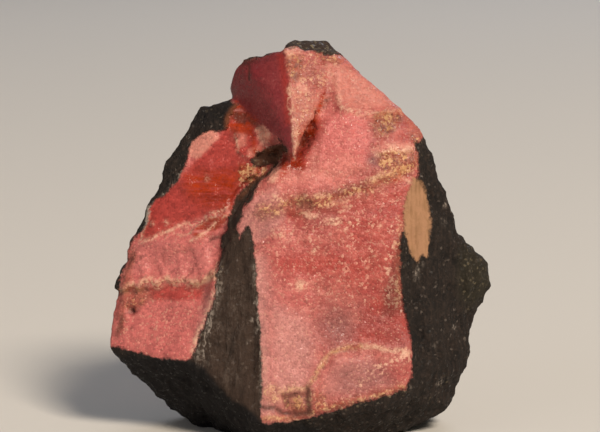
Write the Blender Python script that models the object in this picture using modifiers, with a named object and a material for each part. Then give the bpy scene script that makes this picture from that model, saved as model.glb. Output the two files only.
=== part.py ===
"""Pyroxmangite hand specimen: one broken stone, pink inside and crusted black on its old joint faces.

The stone stands on a flat broken base, +Z up, with its fresh pink faces towards -Y. It is built as
convex blocks, one for each main mass of the stone, whose corners are where its real edges meet. The
blocks are joined, the ledges, flake scars, furrows and pits are raised and cut on the joined skin, its
edges are chipped, and then the gash and the cleft are cut. Corner lists are in millimetres.
"""

import math

import bmesh
import bpy
from mathutils import Vector, noise

MM = 0.001

# Driving dimensions of the finished stone.
STONE_WIDTH = 80 * MM
STONE_DEPTH = 51 * MM
STONE_HEIGHT = 81.5 * MM

# How finely the stone and its cutters are worked, and how many triangles the stone keeps before
# the gash and the cleft are cut.
WORKING_GRAIN = 0.6 * MM
CUTTER_GRAIN = 0.9 * MM
KEPT_TRIANGLES = 7400

# Main mass: the tall pink face in front, the dark flank on its right and the back.
MAIN_MASS = [
    # lower edge of the front, left to right
    (-22.6, -16.0, 16.6), (-7.9, -24.0, 5.0), (10.0, -22.5, 7.0), (20.3, -20.5, 8.5), (29.9, -9.0, 4.5),
    # left edge of the pink face, going up
    (-19.9, -14.0, 26.4), (-16.4, -12.0, 38.5), (-10.5, -16.5, 40.6), (-11.9, -15.2, 45.3),
    (-11.7, -14.6, 48.3), (-9.4, -14.2, 51.0), (-6.8, -14.2, 53.9), (-3.7, -14.6, 56.2),
    # right edge of the pink face, going up
    (22.5, -21.0, 12.5), (21.5, -19.0, 25.6), (21.5, -16.5, 39.8), (24.2, -10.0, 59.6), (25.5, -7.0, 64.1),
    # crest and top
    (8.6, -10.6, 67.3), (6.5, -4.4, 78.0), (7.5, -2.5, 79.0), (5.0, 4.0, 81.2),
    # right flank, going down
    (28.0, -8.0, 56.4), (30.0, -8.0, 49.2), (34.2, -7.5, 39.3), (36.6, -6.0, 22.5), (34.4, -7.0, 13.7),
    (31.5, 4.0, 4.0),
    # back
    (31.0, 13.0, 26.0), (20.0, 16.0, 57.0), (2.0, 16.0, 73.0), (9.0, 26.5, 34.0), (-8.0, 24.0, 52.0),
    (-12.0, 25.0, 22.0), (19.0, 23.0, 14.0), (24.0, 20.0, 38.0), (0.0, 26.0, 12.0),
    (-24.0, 15.0, 42.0), (-23.0, 15.5, 16.0), (-17.0, 13.0, 61.0), (-6.0, 13.5, 70.5),
    # foot, below the level where the base is cut
    (-17.0, -5.0, -2.0), (-7.0, -14.0, -2.0), (4.0, -16.0, -2.0), (15.0, -12.0, -2.0), (20.0, -4.0, -2.0),
    (22.0, 8.0, -2.0), (15.0, 18.0, -2.0), (-8.0, 20.0, -2.0), (-20.0, 10.0, -2.0),
]

# Left mass: the long stained face beside the main one, and the overhang at its lower left.
LEFT_MASS = [
    # front face
    (-39.7, -9.5, 18.0), (-31.5, -13.0, 17.0), (-22.6, -16.2, 16.6), (-16.4, -11.6, 38.5),
    (-12.7, -9.2, 49.8), (-5.4, -8.0, 59.0), (-14.9, -1.5, 69.0), (-20.7, -0.5, 68.0),
    # left edge, going up
    (-38.5, -8.0, 25.1), (-34.7, -3.5, 40.5), (-31.9, -2.0, 46.7), (-27.6, 0.0, 52.6), (-24.6, 0.0, 59.5),
    # overhang below, and the back
    (-36.4, -4.0, 13.2), (-30.7, -2.0, 7.0), (-24.5, -2.0, 2.0), (-19.0, -3.0, -2.0), (-20.0, 10.0, -2.0),
    (-35.5, 6.0, 19.0), (-33.0, 8.0, 36.0), (-24.0, 14.0, 12.0), (-24.0, 16.0, 42.0), (-16.0, 13.0, 64.0),
    (-4.0, 20.0, 56.0), (-4.0, 16.0, 68.0), (-6.0, 0.0, 20.0),
]

# Peak: the top of the stone, from its flat dark crest down the lit side of the blade to its tip.
PEAK = [
    # crest, from the top down to the tip of the blade
    (-3.3, -6.0, 80.0), (-2.7, -9.4, 74.0), (-2.0, -12.4, 69.3), (-1.5, -15.2, 63.6), (-1.3, -17.2, 58.2),
    # right edge of the blade, going up to the top
    (0.0, -15.6, 61.0), (1.2, -14.1, 63.5), (2.7, -12.0, 66.8), (4.1, -10.0, 69.1),
    (6.0, -4.6, 78.2), (7.4, -2.5, 79.0), (5.8, 2.0, 81.2), (-2.6, 1.0, 81.5),
    # inside the stone
    (4.0, 9.0, 80.0), (-2.4, 9.0, 79.0), (4.0, 4.0, 58.0), (-1.0, 4.0, 58.0),
]

# Knob: the lobe that overhangs the left face and turns its smooth curved side to the left.
KNOB = [
    # just inside the crest, from the top down to the tip of the blade
    (-2.6, -5.6, 79.4), (-2.3, -9.4, 73.6), (-1.7, -12.2, 69.3), (-1.4, -15.0, 63.6), (-1.2, -16.6, 58.8),
    # outline on the left, going down
    (-7.6, 0.0, 78.6), (-11.6, 1.6, 77.8), (-13.8, 2.6, 75.4), (-14.6, 2.6, 72.4), (-13.8, 1.4, 69.4),
    (-10.7, -2.6, 65.5), (-6.6, -8.2, 61.4), (-3.2, -13.0, 58.8),
    # belly of the curved side
    (-7.4, -7.4, 73.6), (-10.0, -4.4, 75.0), (-9.0, -5.6, 70.0), (-5.6, -10.2, 66.0), (-11.6, -2.2, 72.6),
    (-7.4, -7.2, 66.0),
    # inside the main mass and the left one
    (2.0, 6.0, 79.0), (2.0, 2.0, 60.0), (-8.0, 9.0, 76.0), (-12.0, 9.0, 70.0),
]

# Nub: the weathered lump that stands out of the right flank.
NUB = [
    (34.0, -8.4, 38.6), (36.1, -6.0, 38.4), (37.9, -4.6, 36.0), (39.9, -3.0, 33.3), (40.1, -2.6, 30.2),
    (38.0, -4.4, 27.0), (36.0, -7.0, 25.6), (33.4, -9.6, 31.0), (35.6, -9.0, 33.4), (36.4, -5.0, 22.0),
    (38.4, 1.0, 33.0), (34.0, 5.0, 24.0), (31.5, 5.0, 43.0), (28.0, -2.0, 28.0),
]

# Notch: the thin wedge-shaped gash on the right of the blade, which leans in under the blade.
NOTCH = [
    (11.5, -24.0, 75.9), (4.4, -24.0, 65.1), (2.6, -24.0, 62.6), (1.1, -24.0, 57.9),
    (8.7, -24.0, 58.5), (7.6, -24.0, 56.2), (5.3, -24.0, 55.0),
    (2.3, -6.0, 68.6), (-1.0, -6.4, 62.3), (-2.2, -7.6, 59.5), (-3.2, -9.6, 56.6),
]

# Cleft: the dark gap between the left face and the main one. It runs down from under the knob, its
# branch goes off into the left face, and its foot opens on to the dark strip.
CLEFT_TOP = [
    (-5.2, -24.0, 62.4), (-2.2, -24.0, 60.2), (-1.5, -24.0, 58.2), (-3.6, -24.0, 57.2),
    (-8.1, -24.0, 54.0), (-9.5, -24.0, 54.7), (-7.3, -24.0, 58.8),
    (-3.2, -8.6, 60.4), (-2.8, -9.0, 58.0), (-7.6, -7.8, 53.2), (-9.1, -7.4, 54.6), (-7.3, -6.6, 58.2),
]
CLEFT_BRANCH = [
    (-3.8, -24.0, 61.6), (-4.0, -24.0, 58.3), (-9.7, -24.0, 57.3), (-10.6, -24.0, 58.9), (-8.7, -24.0, 60.5),
    (-4.0, -6.6, 60.2), (-4.2, -6.6, 58.2), (-9.6, -5.8, 56.9), (-10.2, -5.8, 58.2),
]
CLEFT_FOOT = [
    (-7.4, -24.0, 55.2), (-8.6, -24.0, 53.0), (-12.3, -24.0, 49.1), (-13.2, -24.0, 45.0),
    (-15.2, -24.0, 46.6), (-14.6, -24.0, 50.5), (-10.3, -24.0, 54.3),
    (-7.0, -7.6, 55.4), (-8.8, -7.8, 52.6), (-12.7, -8.2, 48.4), (-13.9, -9.0, 45.4),
    (-14.9, -9.0, 46.8), (-14.1, -8.2, 50.0), (-10.2, -7.6, 54.2),
]

# Relief is drawn on the stone seen straight on from four sides. Each drawing says which way its side
# faces, which coordinate runs across it, and how far out along that way its skin starts. In it are:
# ledges, as a line of (across, up) points, how far the skin stands out beside the line, how far that takes
# to fade, and on which side of the line it is, walking along it; furrows, as a line, how deep and how
# wide; and hollows, as (across, up), how deep and the radius.
FRONT = {
    "faces": (0, -1, 0), "across": 0, "starts": -2.0,
    "ledges": [
        # the step across the left face, whose upper part overhangs
        {"line": [(-38.2, 29.6), (-33.5, 31.0), (-28.3, 31.4), (-23.0, 31.2), (-17.6, 32.4)],
         "rise": 1.3, "fade": 9.0, "side": "left"},
        # two splintery folds higher up the left face
        {"line": [(-33.3, 39.8), (-27.2, 42.7), (-23.4, 45.0), (-15.8, 47.1)],
         "rise": 1.1, "fade": 7.0, "side": "left"},
        {"line": [(-31.7, 38.0), (-26.8, 39.6), (-20.6, 39.6), (-17.2, 40.6)],
         "rise": 0.8, "fade": 3.0, "side": "left"},
        # the slanting seam across the main face
        {"line": [(-9.2, 46.5), (-0.2, 47.1), (9.0, 49.6), (14.1, 51.9), (22.9, 56.8)],
         "rise": 0.9, "fade": 8.0, "side": "left"},
        # the flake scar at the lower right of the main face, which swells under its rim
        {"line": [(0.6, 9.4), (1.4, 11.6), (3.1, 14.3), (7.5, 18.3), (12.0, 19.7), (22.6, 18.3)],
         "rise": 1.5, "fade": 11.0, "side": "right"},
        # the upper facet of the main face
        {"line": [(6.2, 76.6), (7.0, 71.1), (8.7, 67.2), (13.0, 66.7), (20.5, 66.5)],
         "rise": 0.8, "fade": 10.0, "side": "left"},
        # the broken step at the foot of the main face
        {"line": [(-8.6, 7.6), (-4.0, 8.6), (1.0, 9.6), (8.0, 8.8), (20.0, 10.4)],
         "rise": 0.7, "fade": 3.0, "side": "right"},
    ],
    "furrows": [
        # beside the right edge of the pink face
        {"line": [(24.0, 50.6), (22.4, 44.8), (22.2, 35.8), (22.8, 25.6), (24.4, 18.0)],
         "deep": 1.3, "wide": 2.0},
        # beside its left edge, where the pink stands proud of the dark strip
        {"line": [(-11.4, 38.0), (-10.6, 30.0), (-9.6, 18.0), (-8.8, 8.0)], "deep": 0.9, "wide": 1.6},
        # the fold under the left face's stained part
        {"line": [(-30.0, 35.0), (-22.0, 38.0), (-16.5, 44.0)], "deep": 0.7, "wide": 1.6},
    ],
    "hollows": [
        {"at": (14.5, 26.0), "deep": 1.3, "radius": 9.0},
        {"at": (-0.6, 45.9), "deep": 1.3, "radius": 2.6},
        {"at": (-2.4, 8.0), "deep": 1.0, "radius": 2.4},
        {"at": (-35.4, 25.6), "deep": 1.0, "radius": 1.3},
        {"at": (-23.6, 61.5), "deep": 1.0, "radius": 3.0},
    ],
}
BACK = {
    "faces": (0, 1, 0), "across": 0, "starts": 6.0,
    "ledges": [
        {"line": [(-33.0, 46.0), (-22.0, 41.0), (-9.0, 46.0), (3.0, 40.0), (16.0, 44.0), (31.0, 36.0)],
         "rise": 1.9, "fade": 14.0, "side": "right"},
        {"line": [(-9.0, 72.0), (-5.0, 62.0), (1.0, 55.0), (3.0, 41.0)],
         "rise": 1.8, "fade": 10.0, "side": "right"},
        {"line": [(-30.0, 17.0), (-16.0, 13.0), (2.0, 18.0), (17.0, 13.0), (31.0, 17.0)],
         "rise": 1.5, "fade": 8.0, "side": "right"},
    ],
    "furrows": [
        {"line": [(-14.0, 40.0), (-10.0, 28.0), (-12.0, 14.0)], "deep": 1.2, "wide": 3.0},
    ],
    "hollows": [
        {"at": (13.0, 56.0), "deep": 2.2, "radius": 9.0},
        {"at": (-20.0, 55.0), "deep": 1.6, "radius": 8.0},
        {"at": (12.0, 28.0), "deep": 1.6, "radius": 8.0},
        {"at": (-23.0, 28.0), "deep": 1.3, "radius": 6.0},
    ],
}
RIGHT = {
    "faces": (1, 0, 0), "across": 1, "starts": 21.0,
    "ledges": [
        {"line": [(3.0, 44.0), (9.0, 47.0), (16.0, 42.0)],
         "rise": 0.7, "fade": 7.0, "side": "right"},
        {"line": [(-20.0, 15.0), (-9.0, 19.0), (2.0, 15.0), (14.0, 19.0)],
         "rise": 1.1, "fade": 6.0, "side": "right"},
    ],
    "furrows": [
        {"line": [(-6.0, 24.0), (-4.0, 14.0), (-5.0, 5.0)], "deep": 1.1, "wide": 1.8},
        {"line": [(5.0, 60.0), (6.0, 46.0), (4.0, 36.0)], "deep": 1.0, "wide": 2.0},
    ],
    "hollows": [{"at": (9.0, 27.0), "deep": 1.4, "radius": 6.0}],
}
LEFT = {
    "faces": (-1, 0, 0), "across": 1, "starts": 14.0,
    "ledges": [
        {"line": [(-8.0, 36.0), (0.0, 33.0), (8.0, 36.0), (18.0, 31.0)],
         "rise": 1.3, "fade": 8.0, "side": "right"},
        {"line": [(-6.0, 56.0), (4.0, 52.0), (16.0, 55.0)], "rise": 1.1, "fade": 6.0, "side": "left"},
    ],
    "furrows": [{"line": [(5.0, 50.0), (7.0, 38.0), (4.0, 24.0)], "deep": 1.0, "wide": 2.2}],
    "hollows": [{"at": (4.0, 24.0), "deep": 1.2, "radius": 5.0}],
}

# How far the lines of this relief wander from the straight, and over what distance.
WANDER = 1.6
WANDER_SIZE = 4.0

# Roughness of the whole skin: (height, size of the lumps).
LUMPS = [(0.75, 13.0), (0.38, 5.0), (0.16, 2.2)]

# Upright flutes on the dark joint faces: their height, and the size of a flute across and along.
FLUTE_HEIGHT = 0.55
FLUTE_ACROSS = 2.6
FLUTE_ALONG = 22.0

# Chipping of the edges: how many rounds of averaging find an edge, and how far a chip eats into it.
CHIP_ROUNDS = 6
CHIP_GAIN = 1.5
CHIP_SIZE = 4.0

# Roughness of the walls of the gash and the cleft.
WALL_ROUGHNESS = 0.35
WALL_LUMP_SIZE = 2.5


def clear_scene():
    for obj in list(bpy.data.objects):
        bpy.data.objects.remove(obj, do_unlink=True)


def new_collection(name, parent=None):
    made = bpy.data.collections.new(name)
    (parent or bpy.context.scene.collection).children.link(made)
    return made


def stone_material():
    """Dull pink massive pyroxmangite."""
    material = bpy.data.materials.new("pyroxmangite")
    material.use_nodes = True
    shader = material.node_tree.nodes["Principled BSDF"]
    shader.inputs["Base Color"].default_value = (0.46, 0.14, 0.11, 1.0)
    shader.inputs["Roughness"].default_value = 0.55
    shader.inputs["Metallic"].default_value = 0.0
    return material


def block(name, corners, collection, helper=True):
    """The convex block whose corners are these points, in millimetres."""
    mesh = bpy.data.meshes.new(name)
    form = bmesh.new()
    for corner in corners:
        form.verts.new(Vector(corner) * MM)
    hull = bmesh.ops.convex_hull(form, input=form.verts)
    inner = [v for v in hull["geom_interior"] if isinstance(v, bmesh.types.BMVert)]
    bmesh.ops.delete(form, geom=inner, context="VERTS")
    bmesh.ops.recalc_face_normals(form, faces=form.faces)
    form.to_mesh(mesh)
    form.free()
    obj = bpy.data.objects.new(name, mesh)
    collection.objects.link(obj)
    if helper:
        obj.hide_render = True
        obj.display_type = "WIRE"
    return obj


def boolean(target, other, operation, solver="EXACT"):
    modifier = target.modifiers.new(f"{operation.lower()}_{other.name}", "BOOLEAN")
    modifier.object = other
    modifier.operation = operation
    modifier.solver = solver


def regrain(obj, size):
    """Turns the object's skin into an even grain of faces of this size."""
    grain = obj.modifiers.new("grain", "REMESH")
    grain.mode = "VOXEL"
    grain.voxel_size = size


def apply_modifiers(obj):
    """Replaces the object's mesh with what its modifiers make of it."""
    graph = bpy.context.evaluated_depsgraph_get()
    made = bpy.data.meshes.new_from_object(obj.evaluated_get(graph))
    obj.modifiers.clear()
    obj.data = made


def along_line(across, up, line):
    """Distance in mm from a point of a drawing to a line on it, positive on the line's left,
    and how many mm the point lies past the line's nearer end."""
    nearest = None
    point = Vector((across, up))
    for start, end in zip(line, line[1:]):
        a = Vector(start)
        run = Vector(end) - a
        share = (point - a).dot(run) / run.length_squared
        foot = a + run * min(max(share, 0.0), 1.0)
        away = (point - foot).length
        if nearest is None or away < nearest[0]:
            side = run.x * (point - a).y - run.y * (point - a).x
            past = 0.0 if 0.0 <= share <= 1.0 else away
            nearest = (away, math.copysign(away, side), past)
    return nearest[1], nearest[2]


def smooth_step(value):
    value = min(max(value, 0.0), 1.0)
    return value * value * (3.0 - 2.0 * value)


def drawn_relief(drawing, point):
    """How far one side's ledges, furrows and hollows move its skin outwards at this point, in mm."""
    out = 0.0
    across, up = point[drawing["across"]], point.z
    here = Vector((across, up, 0.0)) / WANDER_SIZE
    across += WANDER * noise.noise(here)
    up += WANDER * noise.noise(here + Vector((0.0, 0.0, 5.0)))
    clean = smooth_step(0.7 + noise.noise(here / 2 + Vector((0.0, 0.0, 9.0))))
    for ledge in drawing["ledges"]:
        distance, past = along_line(across, up, ledge["line"])
        if ledge["side"] == "right":
            distance = -distance
        if distance > -0.5:
            rise = smooth_step(distance + 0.5) * math.exp(-max(distance, 0.0) / ledge["fade"])
            out += ledge["rise"] * rise * clean * math.exp(-past / 2.5)
    for furrow in drawing["furrows"]:
        distance, _ = along_line(across, up, furrow["line"])
        out -= furrow["deep"] * math.exp(-((distance / furrow["wide"]) ** 2) * 2.0)
    for hollow in drawing["hollows"]:
        away = math.hypot(across - hollow["at"][0], up - hollow["at"][1]) / hollow["radius"]
        out -= hollow["deep"] * math.exp(-away * away)
    return out


def is_dark_flank(point, normal):
    """How far this spot of the skin belongs to the fluted joint faces, from 0 to 1."""
    flank = smooth_step((point.x - 22.0) / 3.0)
    strip = smooth_step((-9.0 - point.x) / 2.0) * smooth_step((point.x + 24.0) / 4.0)
    strip *= smooth_step((36.0 - point.z) / 6.0)
    side = smooth_step((normal.y + 0.1) / 0.4)
    return max(flank, strip, side * 0.7)


def smoothness(point, normal):
    """How far this spot belongs to the knob's smooth side or the even pink face, from 0 to 1."""
    knob = smooth_step((point.z - 57.0) / 3.0) * smooth_step((3.0 - point.y) / 2.0)
    knob *= smooth_step((-1.5 - point.x) / 1.0) * smooth_step((-normal.x - 0.1) / 0.3)
    face = smooth_step((-normal.y - 0.6) / 0.2) * smooth_step((point.x + 9.0) / 2.0)
    return max(0.8 * knob, 0.4 * face)


def skin_relief(point, normal):
    """How far the skin stands out along its normal here, in mm, from its lumps and flutes."""
    height = sum(
        tall * noise.fractal(point / size, 1.0, 2.0, 3, noise_basis="PERLIN_ORIGINAL")
        for tall, size in LUMPS
    )
    flute = noise.noise(
        Vector((point.x / FLUTE_ACROSS, point.y / FLUTE_ACROSS, point.z / FLUTE_ALONG))
    )
    height *= 1.0 - smoothness(point, normal)
    return height + FLUTE_HEIGHT * flute * is_dark_flank(point, normal)


def carve(mesh):
    """Raises and cuts the relief on the joined stone."""
    moved = []
    for vertex in mesh.vertices:
        point = vertex.co / MM
        normal = vertex.normal.copy()
        shift = normal * skin_relief(point, normal)
        for drawing in (FRONT, BACK, RIGHT, LEFT):
            outward = Vector(drawing["faces"])
            facing = smooth_step((normal.dot(outward) - 0.15) / 0.4)
            facing *= smooth_step((point.dot(outward) - drawing["starts"]) / 4.0 + 1.0)
            if facing > 0.0:
                shift += outward * drawn_relief(drawing, point) * facing
        moved.append((point + shift) * MM)
    for vertex, place in zip(mesh.vertices, moved):
        vertex.co = place


def chip_edges(mesh):
    """Eats irregular chips out of the sharp edges: an averaged copy of the skin lies inside them."""
    places = [vertex.co.copy() for vertex in mesh.vertices]
    beside = [[] for _ in places]
    for edge in mesh.edges:
        a, b = edge.vertices
        beside[a].append(b)
        beside[b].append(a)
    averaged = places
    for _ in range(CHIP_ROUNDS):
        averaged = [
            (here + sum((averaged[n] for n in near), Vector()) / len(near)) / 2
            for here, near in zip(averaged, beside)
        ]
    for vertex, here, smooth in zip(mesh.vertices, places, averaged):
        chip = 0.22 + noise.noise(here / MM / CHIP_SIZE + Vector((7.0, 3.0, 11.0)))
        vertex.co = here + (smooth - here) * CHIP_GAIN * min(max(chip, 0.0), 1.0)


def roughen_walls(mesh):
    """Makes a cutter's flat sides uneven, so that what it cuts looks broken."""
    moved = []
    for vertex in mesh.vertices:
        push = noise.fractal(vertex.co / MM / WALL_LUMP_SIZE, 1.0, 2.0, 2)
        moved.append(vertex.co + vertex.normal * WALL_ROUGHNESS * push * MM)
    for vertex, place in zip(mesh.vertices, moved):
        vertex.co = place


def drop_crumbs(mesh):
    """Removes any crumb that the cuts left loose beside the stone."""
    form = bmesh.new()
    form.from_mesh(mesh)
    waiting = set(form.verts)
    pieces = []
    while waiting:
        reached = [waiting.pop()]
        for vertex in reached:
            for edge in vertex.link_edges:
                other = edge.other_vert(vertex)
                if other in waiting:
                    waiting.remove(other)
                    reached.append(other)
        pieces.append(reached)
    pieces.sort(key=len)
    for crumb in pieces[:-1]:
        bmesh.ops.delete(form, geom=crumb, context="VERTS")
    form.to_mesh(mesh)
    form.free()


def thin_out(obj, triangles):
    """Leaves about this many triangles, most of them where the skin bends."""
    modifier = obj.modifiers.new("thin_out", "DECIMATE")
    modifier.ratio = triangles / (2 * len(obj.data.polygons))
    modifier.use_collapse_triangulate = True
    apply_modifiers(obj)


def cut_base(mesh):
    """Breaks the foot off flat at z = 0, the face the stone rests on."""
    form = bmesh.new()
    form.from_mesh(mesh)
    everything = form.verts[:] + form.edges[:] + form.faces[:]
    cut = bmesh.ops.bisect_plane(
        form, geom=everything, plane_co=(0, 0, 0), plane_no=(0, 0, 1), clear_inner=True
    )
    rim = [item for item in cut["geom_cut"] if isinstance(item, bmesh.types.BMEdge)]
    bmesh.ops.contextual_create(form, geom=rim)
    bmesh.ops.triangulate(form, faces=[face for face in form.faces if len(face.verts) > 3])
    bmesh.ops.recalc_face_normals(form, faces=form.faces)
    form.to_mesh(mesh)
    form.free()


def fit_to_size(mesh):
    """Brings the stone to its driving dimensions, its origin at the middle of its box's floor."""
    low = Vector(min(v.co[axis] for v in mesh.vertices) for axis in range(3))
    high = Vector(max(v.co[axis] for v in mesh.vertices) for axis in range(3))
    sides = (STONE_WIDTH, STONE_DEPTH, STONE_HEIGHT)
    anchor = Vector(((low.x + high.x) / 2, (low.y + high.y) / 2, low.z))
    for vertex in mesh.vertices:
        from_anchor = vertex.co - anchor
        vertex.co = Vector(
            from_anchor[axis] * sides[axis] / (high[axis] - low[axis]) for axis in range(3)
        )


def build_stone():
    specimen = new_collection("pyroxmangite_specimen")
    blocks = new_collection("blocks_and_cutters")
    stone = block("pyroxmangite_stone", MAIN_MASS, specimen, helper=False)
    for name, corners in (
        ("left_mass", LEFT_MASS),
        ("peak", PEAK),
        ("knob", KNOB),
        ("nub", NUB),
    ):
        boolean(stone, block(name, corners, blocks), "UNION")
    regrain(stone, WORKING_GRAIN)
    apply_modifiers(stone)
    carve(stone.data)
    chip_edges(stone.data)
    thin_out(stone, KEPT_TRIANGLES)
    for name, corners in (
        ("notch", NOTCH),
        ("cleft_top", CLEFT_TOP),
        ("cleft_branch", CLEFT_BRANCH),
        ("cleft_foot", CLEFT_FOOT),
    ):
        cutter = block(name, corners, blocks)
        regrain(cutter, CUTTER_GRAIN)
        apply_modifiers(cutter)
        roughen_walls(cutter.data)
        # EXACT loses a skin as uneven as this one.
        boolean(stone, cutter, "DIFFERENCE", "MANIFOLD")
    apply_modifiers(stone)
    drop_crumbs(stone.data)
    cut_base(stone.data)
    fit_to_size(stone.data)
    stone.data.materials.clear()
    stone.data.materials.append(stone_material())
    stone.data.shade_smooth()
    stone.data.set_sharp_from_angle(angle=math.radians(28))
    return stone


clear_scene()
build_stone()
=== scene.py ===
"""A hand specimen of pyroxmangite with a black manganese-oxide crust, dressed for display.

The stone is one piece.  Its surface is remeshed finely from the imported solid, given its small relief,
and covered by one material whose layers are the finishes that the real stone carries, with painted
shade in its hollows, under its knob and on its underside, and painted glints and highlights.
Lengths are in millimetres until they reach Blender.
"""

import logging
import math
from dataclasses import dataclass
from enum import Enum

import bpy
import numpy as np
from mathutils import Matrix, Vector, noise


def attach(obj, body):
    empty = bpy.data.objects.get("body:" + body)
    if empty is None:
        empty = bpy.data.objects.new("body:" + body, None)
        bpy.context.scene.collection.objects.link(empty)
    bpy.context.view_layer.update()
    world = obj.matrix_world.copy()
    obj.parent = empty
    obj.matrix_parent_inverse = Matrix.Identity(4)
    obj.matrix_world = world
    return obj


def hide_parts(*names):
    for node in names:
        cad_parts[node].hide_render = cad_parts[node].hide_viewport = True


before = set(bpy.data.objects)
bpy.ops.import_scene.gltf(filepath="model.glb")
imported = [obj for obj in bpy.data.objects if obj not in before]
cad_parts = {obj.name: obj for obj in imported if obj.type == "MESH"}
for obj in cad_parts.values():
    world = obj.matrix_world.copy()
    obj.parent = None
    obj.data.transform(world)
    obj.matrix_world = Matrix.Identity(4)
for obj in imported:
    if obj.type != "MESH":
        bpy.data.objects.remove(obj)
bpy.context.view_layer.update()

MM = 0.001
FAR_MM = 1e9
CAD_NODE = "pyroxmangite_stone"
BODY = "root"

Point = tuple[float, float]
Path = tuple[Point, ...]
Socket = bpy.types.NodeSocket

log = logging.getLogger("specimen")


# ---------------------------------------------------------------- small tools


def linear(code: str) -> tuple[float, float, float, float]:
    """Turns an sRGB hex colour into the linear colour that shaders take.

    Args:
        code: the colour as "#rrggbb".

    Returns:
        Linear red, green, blue and an alpha of 1.
    """
    parts = [int(code[i : i + 2], 16) / 255 for i in (1, 3, 5)]
    r, g, b = (c / 12.92 if c <= 0.04045 else ((c + 0.055) / 1.055) ** 2.4 for c in parts)
    return r, g, b, 1.0


def fade(values: np.ndarray, low: float, high: float) -> np.ndarray:
    """A smooth step from 0 at low to 1 at high; high may lie below low.

    Args:
        values: any array.
        low: where the step starts.
        high: where it ends.

    Returns:
        An array of the same shape, from 0 to 1.
    """
    t = np.clip((values - low) / (high - low), 0.0, 1.0)
    return t * t * (3.0 - 2.0 * t)


def lumps(points: np.ndarray, size_mm: float, seed: float, stretch: Point = (1.0, 1.0)) -> np.ndarray:
    """Smooth noise over points.

    Args:
        points: an (n, 3) array in mm.
        size_mm: how far apart its lumps are.
        seed: shifts the pattern, so that two calls differ.
        stretch: how much longer the lumps are along x and along z.

    Returns:
        An (n,) array, about -1 to 1.
    """
    scaled = points / size_mm * np.array([1.0 / stretch[0], 1.0, 1.0 / stretch[1]]) + seed * 17.31
    return np.array([noise.noise(Vector(p)) for p in scaled])


def rows(items: bpy.types.bpy_prop_collection, name: str, width: int, kind: type = float) -> np.ndarray:
    """Reads one property of all a mesh's vertices, edges or faces.

    Args:
        items: the vertices, edges or faces.
        name: the property.
        width: how many numbers each item has.
        kind: the numbers' type.

    Returns:
        An array with a row for each item.
    """
    values = np.empty(len(items) * width, kind)
    items.foreach_get(name, values)
    return values.reshape(-1, width)


# ---------------------------------------------------------------- drawn shapes
#
# Each shape is drawn in front view, in (x, z) points; "drawn" below is an (n, 2) array of the skin's
# points in that view.  A share is an (n,) array from 0 to the shape's strength.


def stroke_distance(drawn: np.ndarray, start: Point, end: Point) -> np.ndarray:
    """Distance from points to a straight stroke.

    Args:
        drawn: the points.
        start: one end of the stroke.
        end: its other end.

    Returns:
        An (n,) array in mm.
    """
    origin, along = np.array(start), np.array(end) - np.array(start)
    t = np.clip(((drawn - origin) @ along) / max(along @ along, 1e-9), 0.0, 1.0)
    return np.hypot(*(drawn - origin - t[:, None] * along).T)


@dataclass(frozen=True)
class Patch:
    """A drawn area: its corners, how strong it is, and how far its edge fades."""

    corners: Path
    strength: float = 1.0
    soft_mm: float = 0.8

    def distance(self, drawn: np.ndarray) -> np.ndarray:
        """Signed distance to the outline.

        Args:
            drawn: the points.

        Returns:
            An (n,) array in mm, above 0 inside.
        """
        inside = np.zeros(len(drawn), bool)
        nearest = np.full(len(drawn), FAR_MM)
        for start, end in zip(self.corners, self.corners[1:] + self.corners[:1]):
            nearest = np.minimum(nearest, stroke_distance(drawn, start, end))
            (ax, az), (bx, bz) = start, end
            if az != bz:
                crosses = (az > drawn[:, 1]) != (bz > drawn[:, 1])
                at = ax + (drawn[:, 1] - az) * (bx - ax) / (bz - az)
                inside ^= crosses & (drawn[:, 0] < at)
        return np.where(inside, nearest, -nearest)

    def share(self, drawn: np.ndarray) -> np.ndarray:
        """How much of the area each point takes."""
        return self.strength * fade(self.distance(drawn), -self.soft_mm, self.soft_mm)


@dataclass(frozen=True)
class Trail:
    """A drawn line with soft sides."""

    path: Path
    half_width_mm: float
    strength: float = 1.0

    def share(self, drawn: np.ndarray) -> np.ndarray:
        """How much of the line each point takes."""
        strokes = [stroke_distance(drawn, start, end) for start, end in zip(self.path, self.path[1:])]
        return self.strength * np.exp(-((np.min(strokes, axis=0) / self.half_width_mm) ** 2))


@dataclass(frozen=True)
class Spots:
    """Round soft spots of one size."""

    centres: Path
    radius_mm: float
    strength: float = 1.0

    def share(self, drawn: np.ndarray) -> np.ndarray:
        """How much of the nearest spot each point takes."""
        away = [np.hypot(*(drawn - np.array(centre)).T) for centre in self.centres]
        return self.strength * np.exp(-((np.min(away, axis=0) / self.radius_mm) ** 2))


class Side(Enum):
    """Which side of a line stands out, walking along it."""

    LEFT = 1.0
    RIGHT = -1.0


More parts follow.
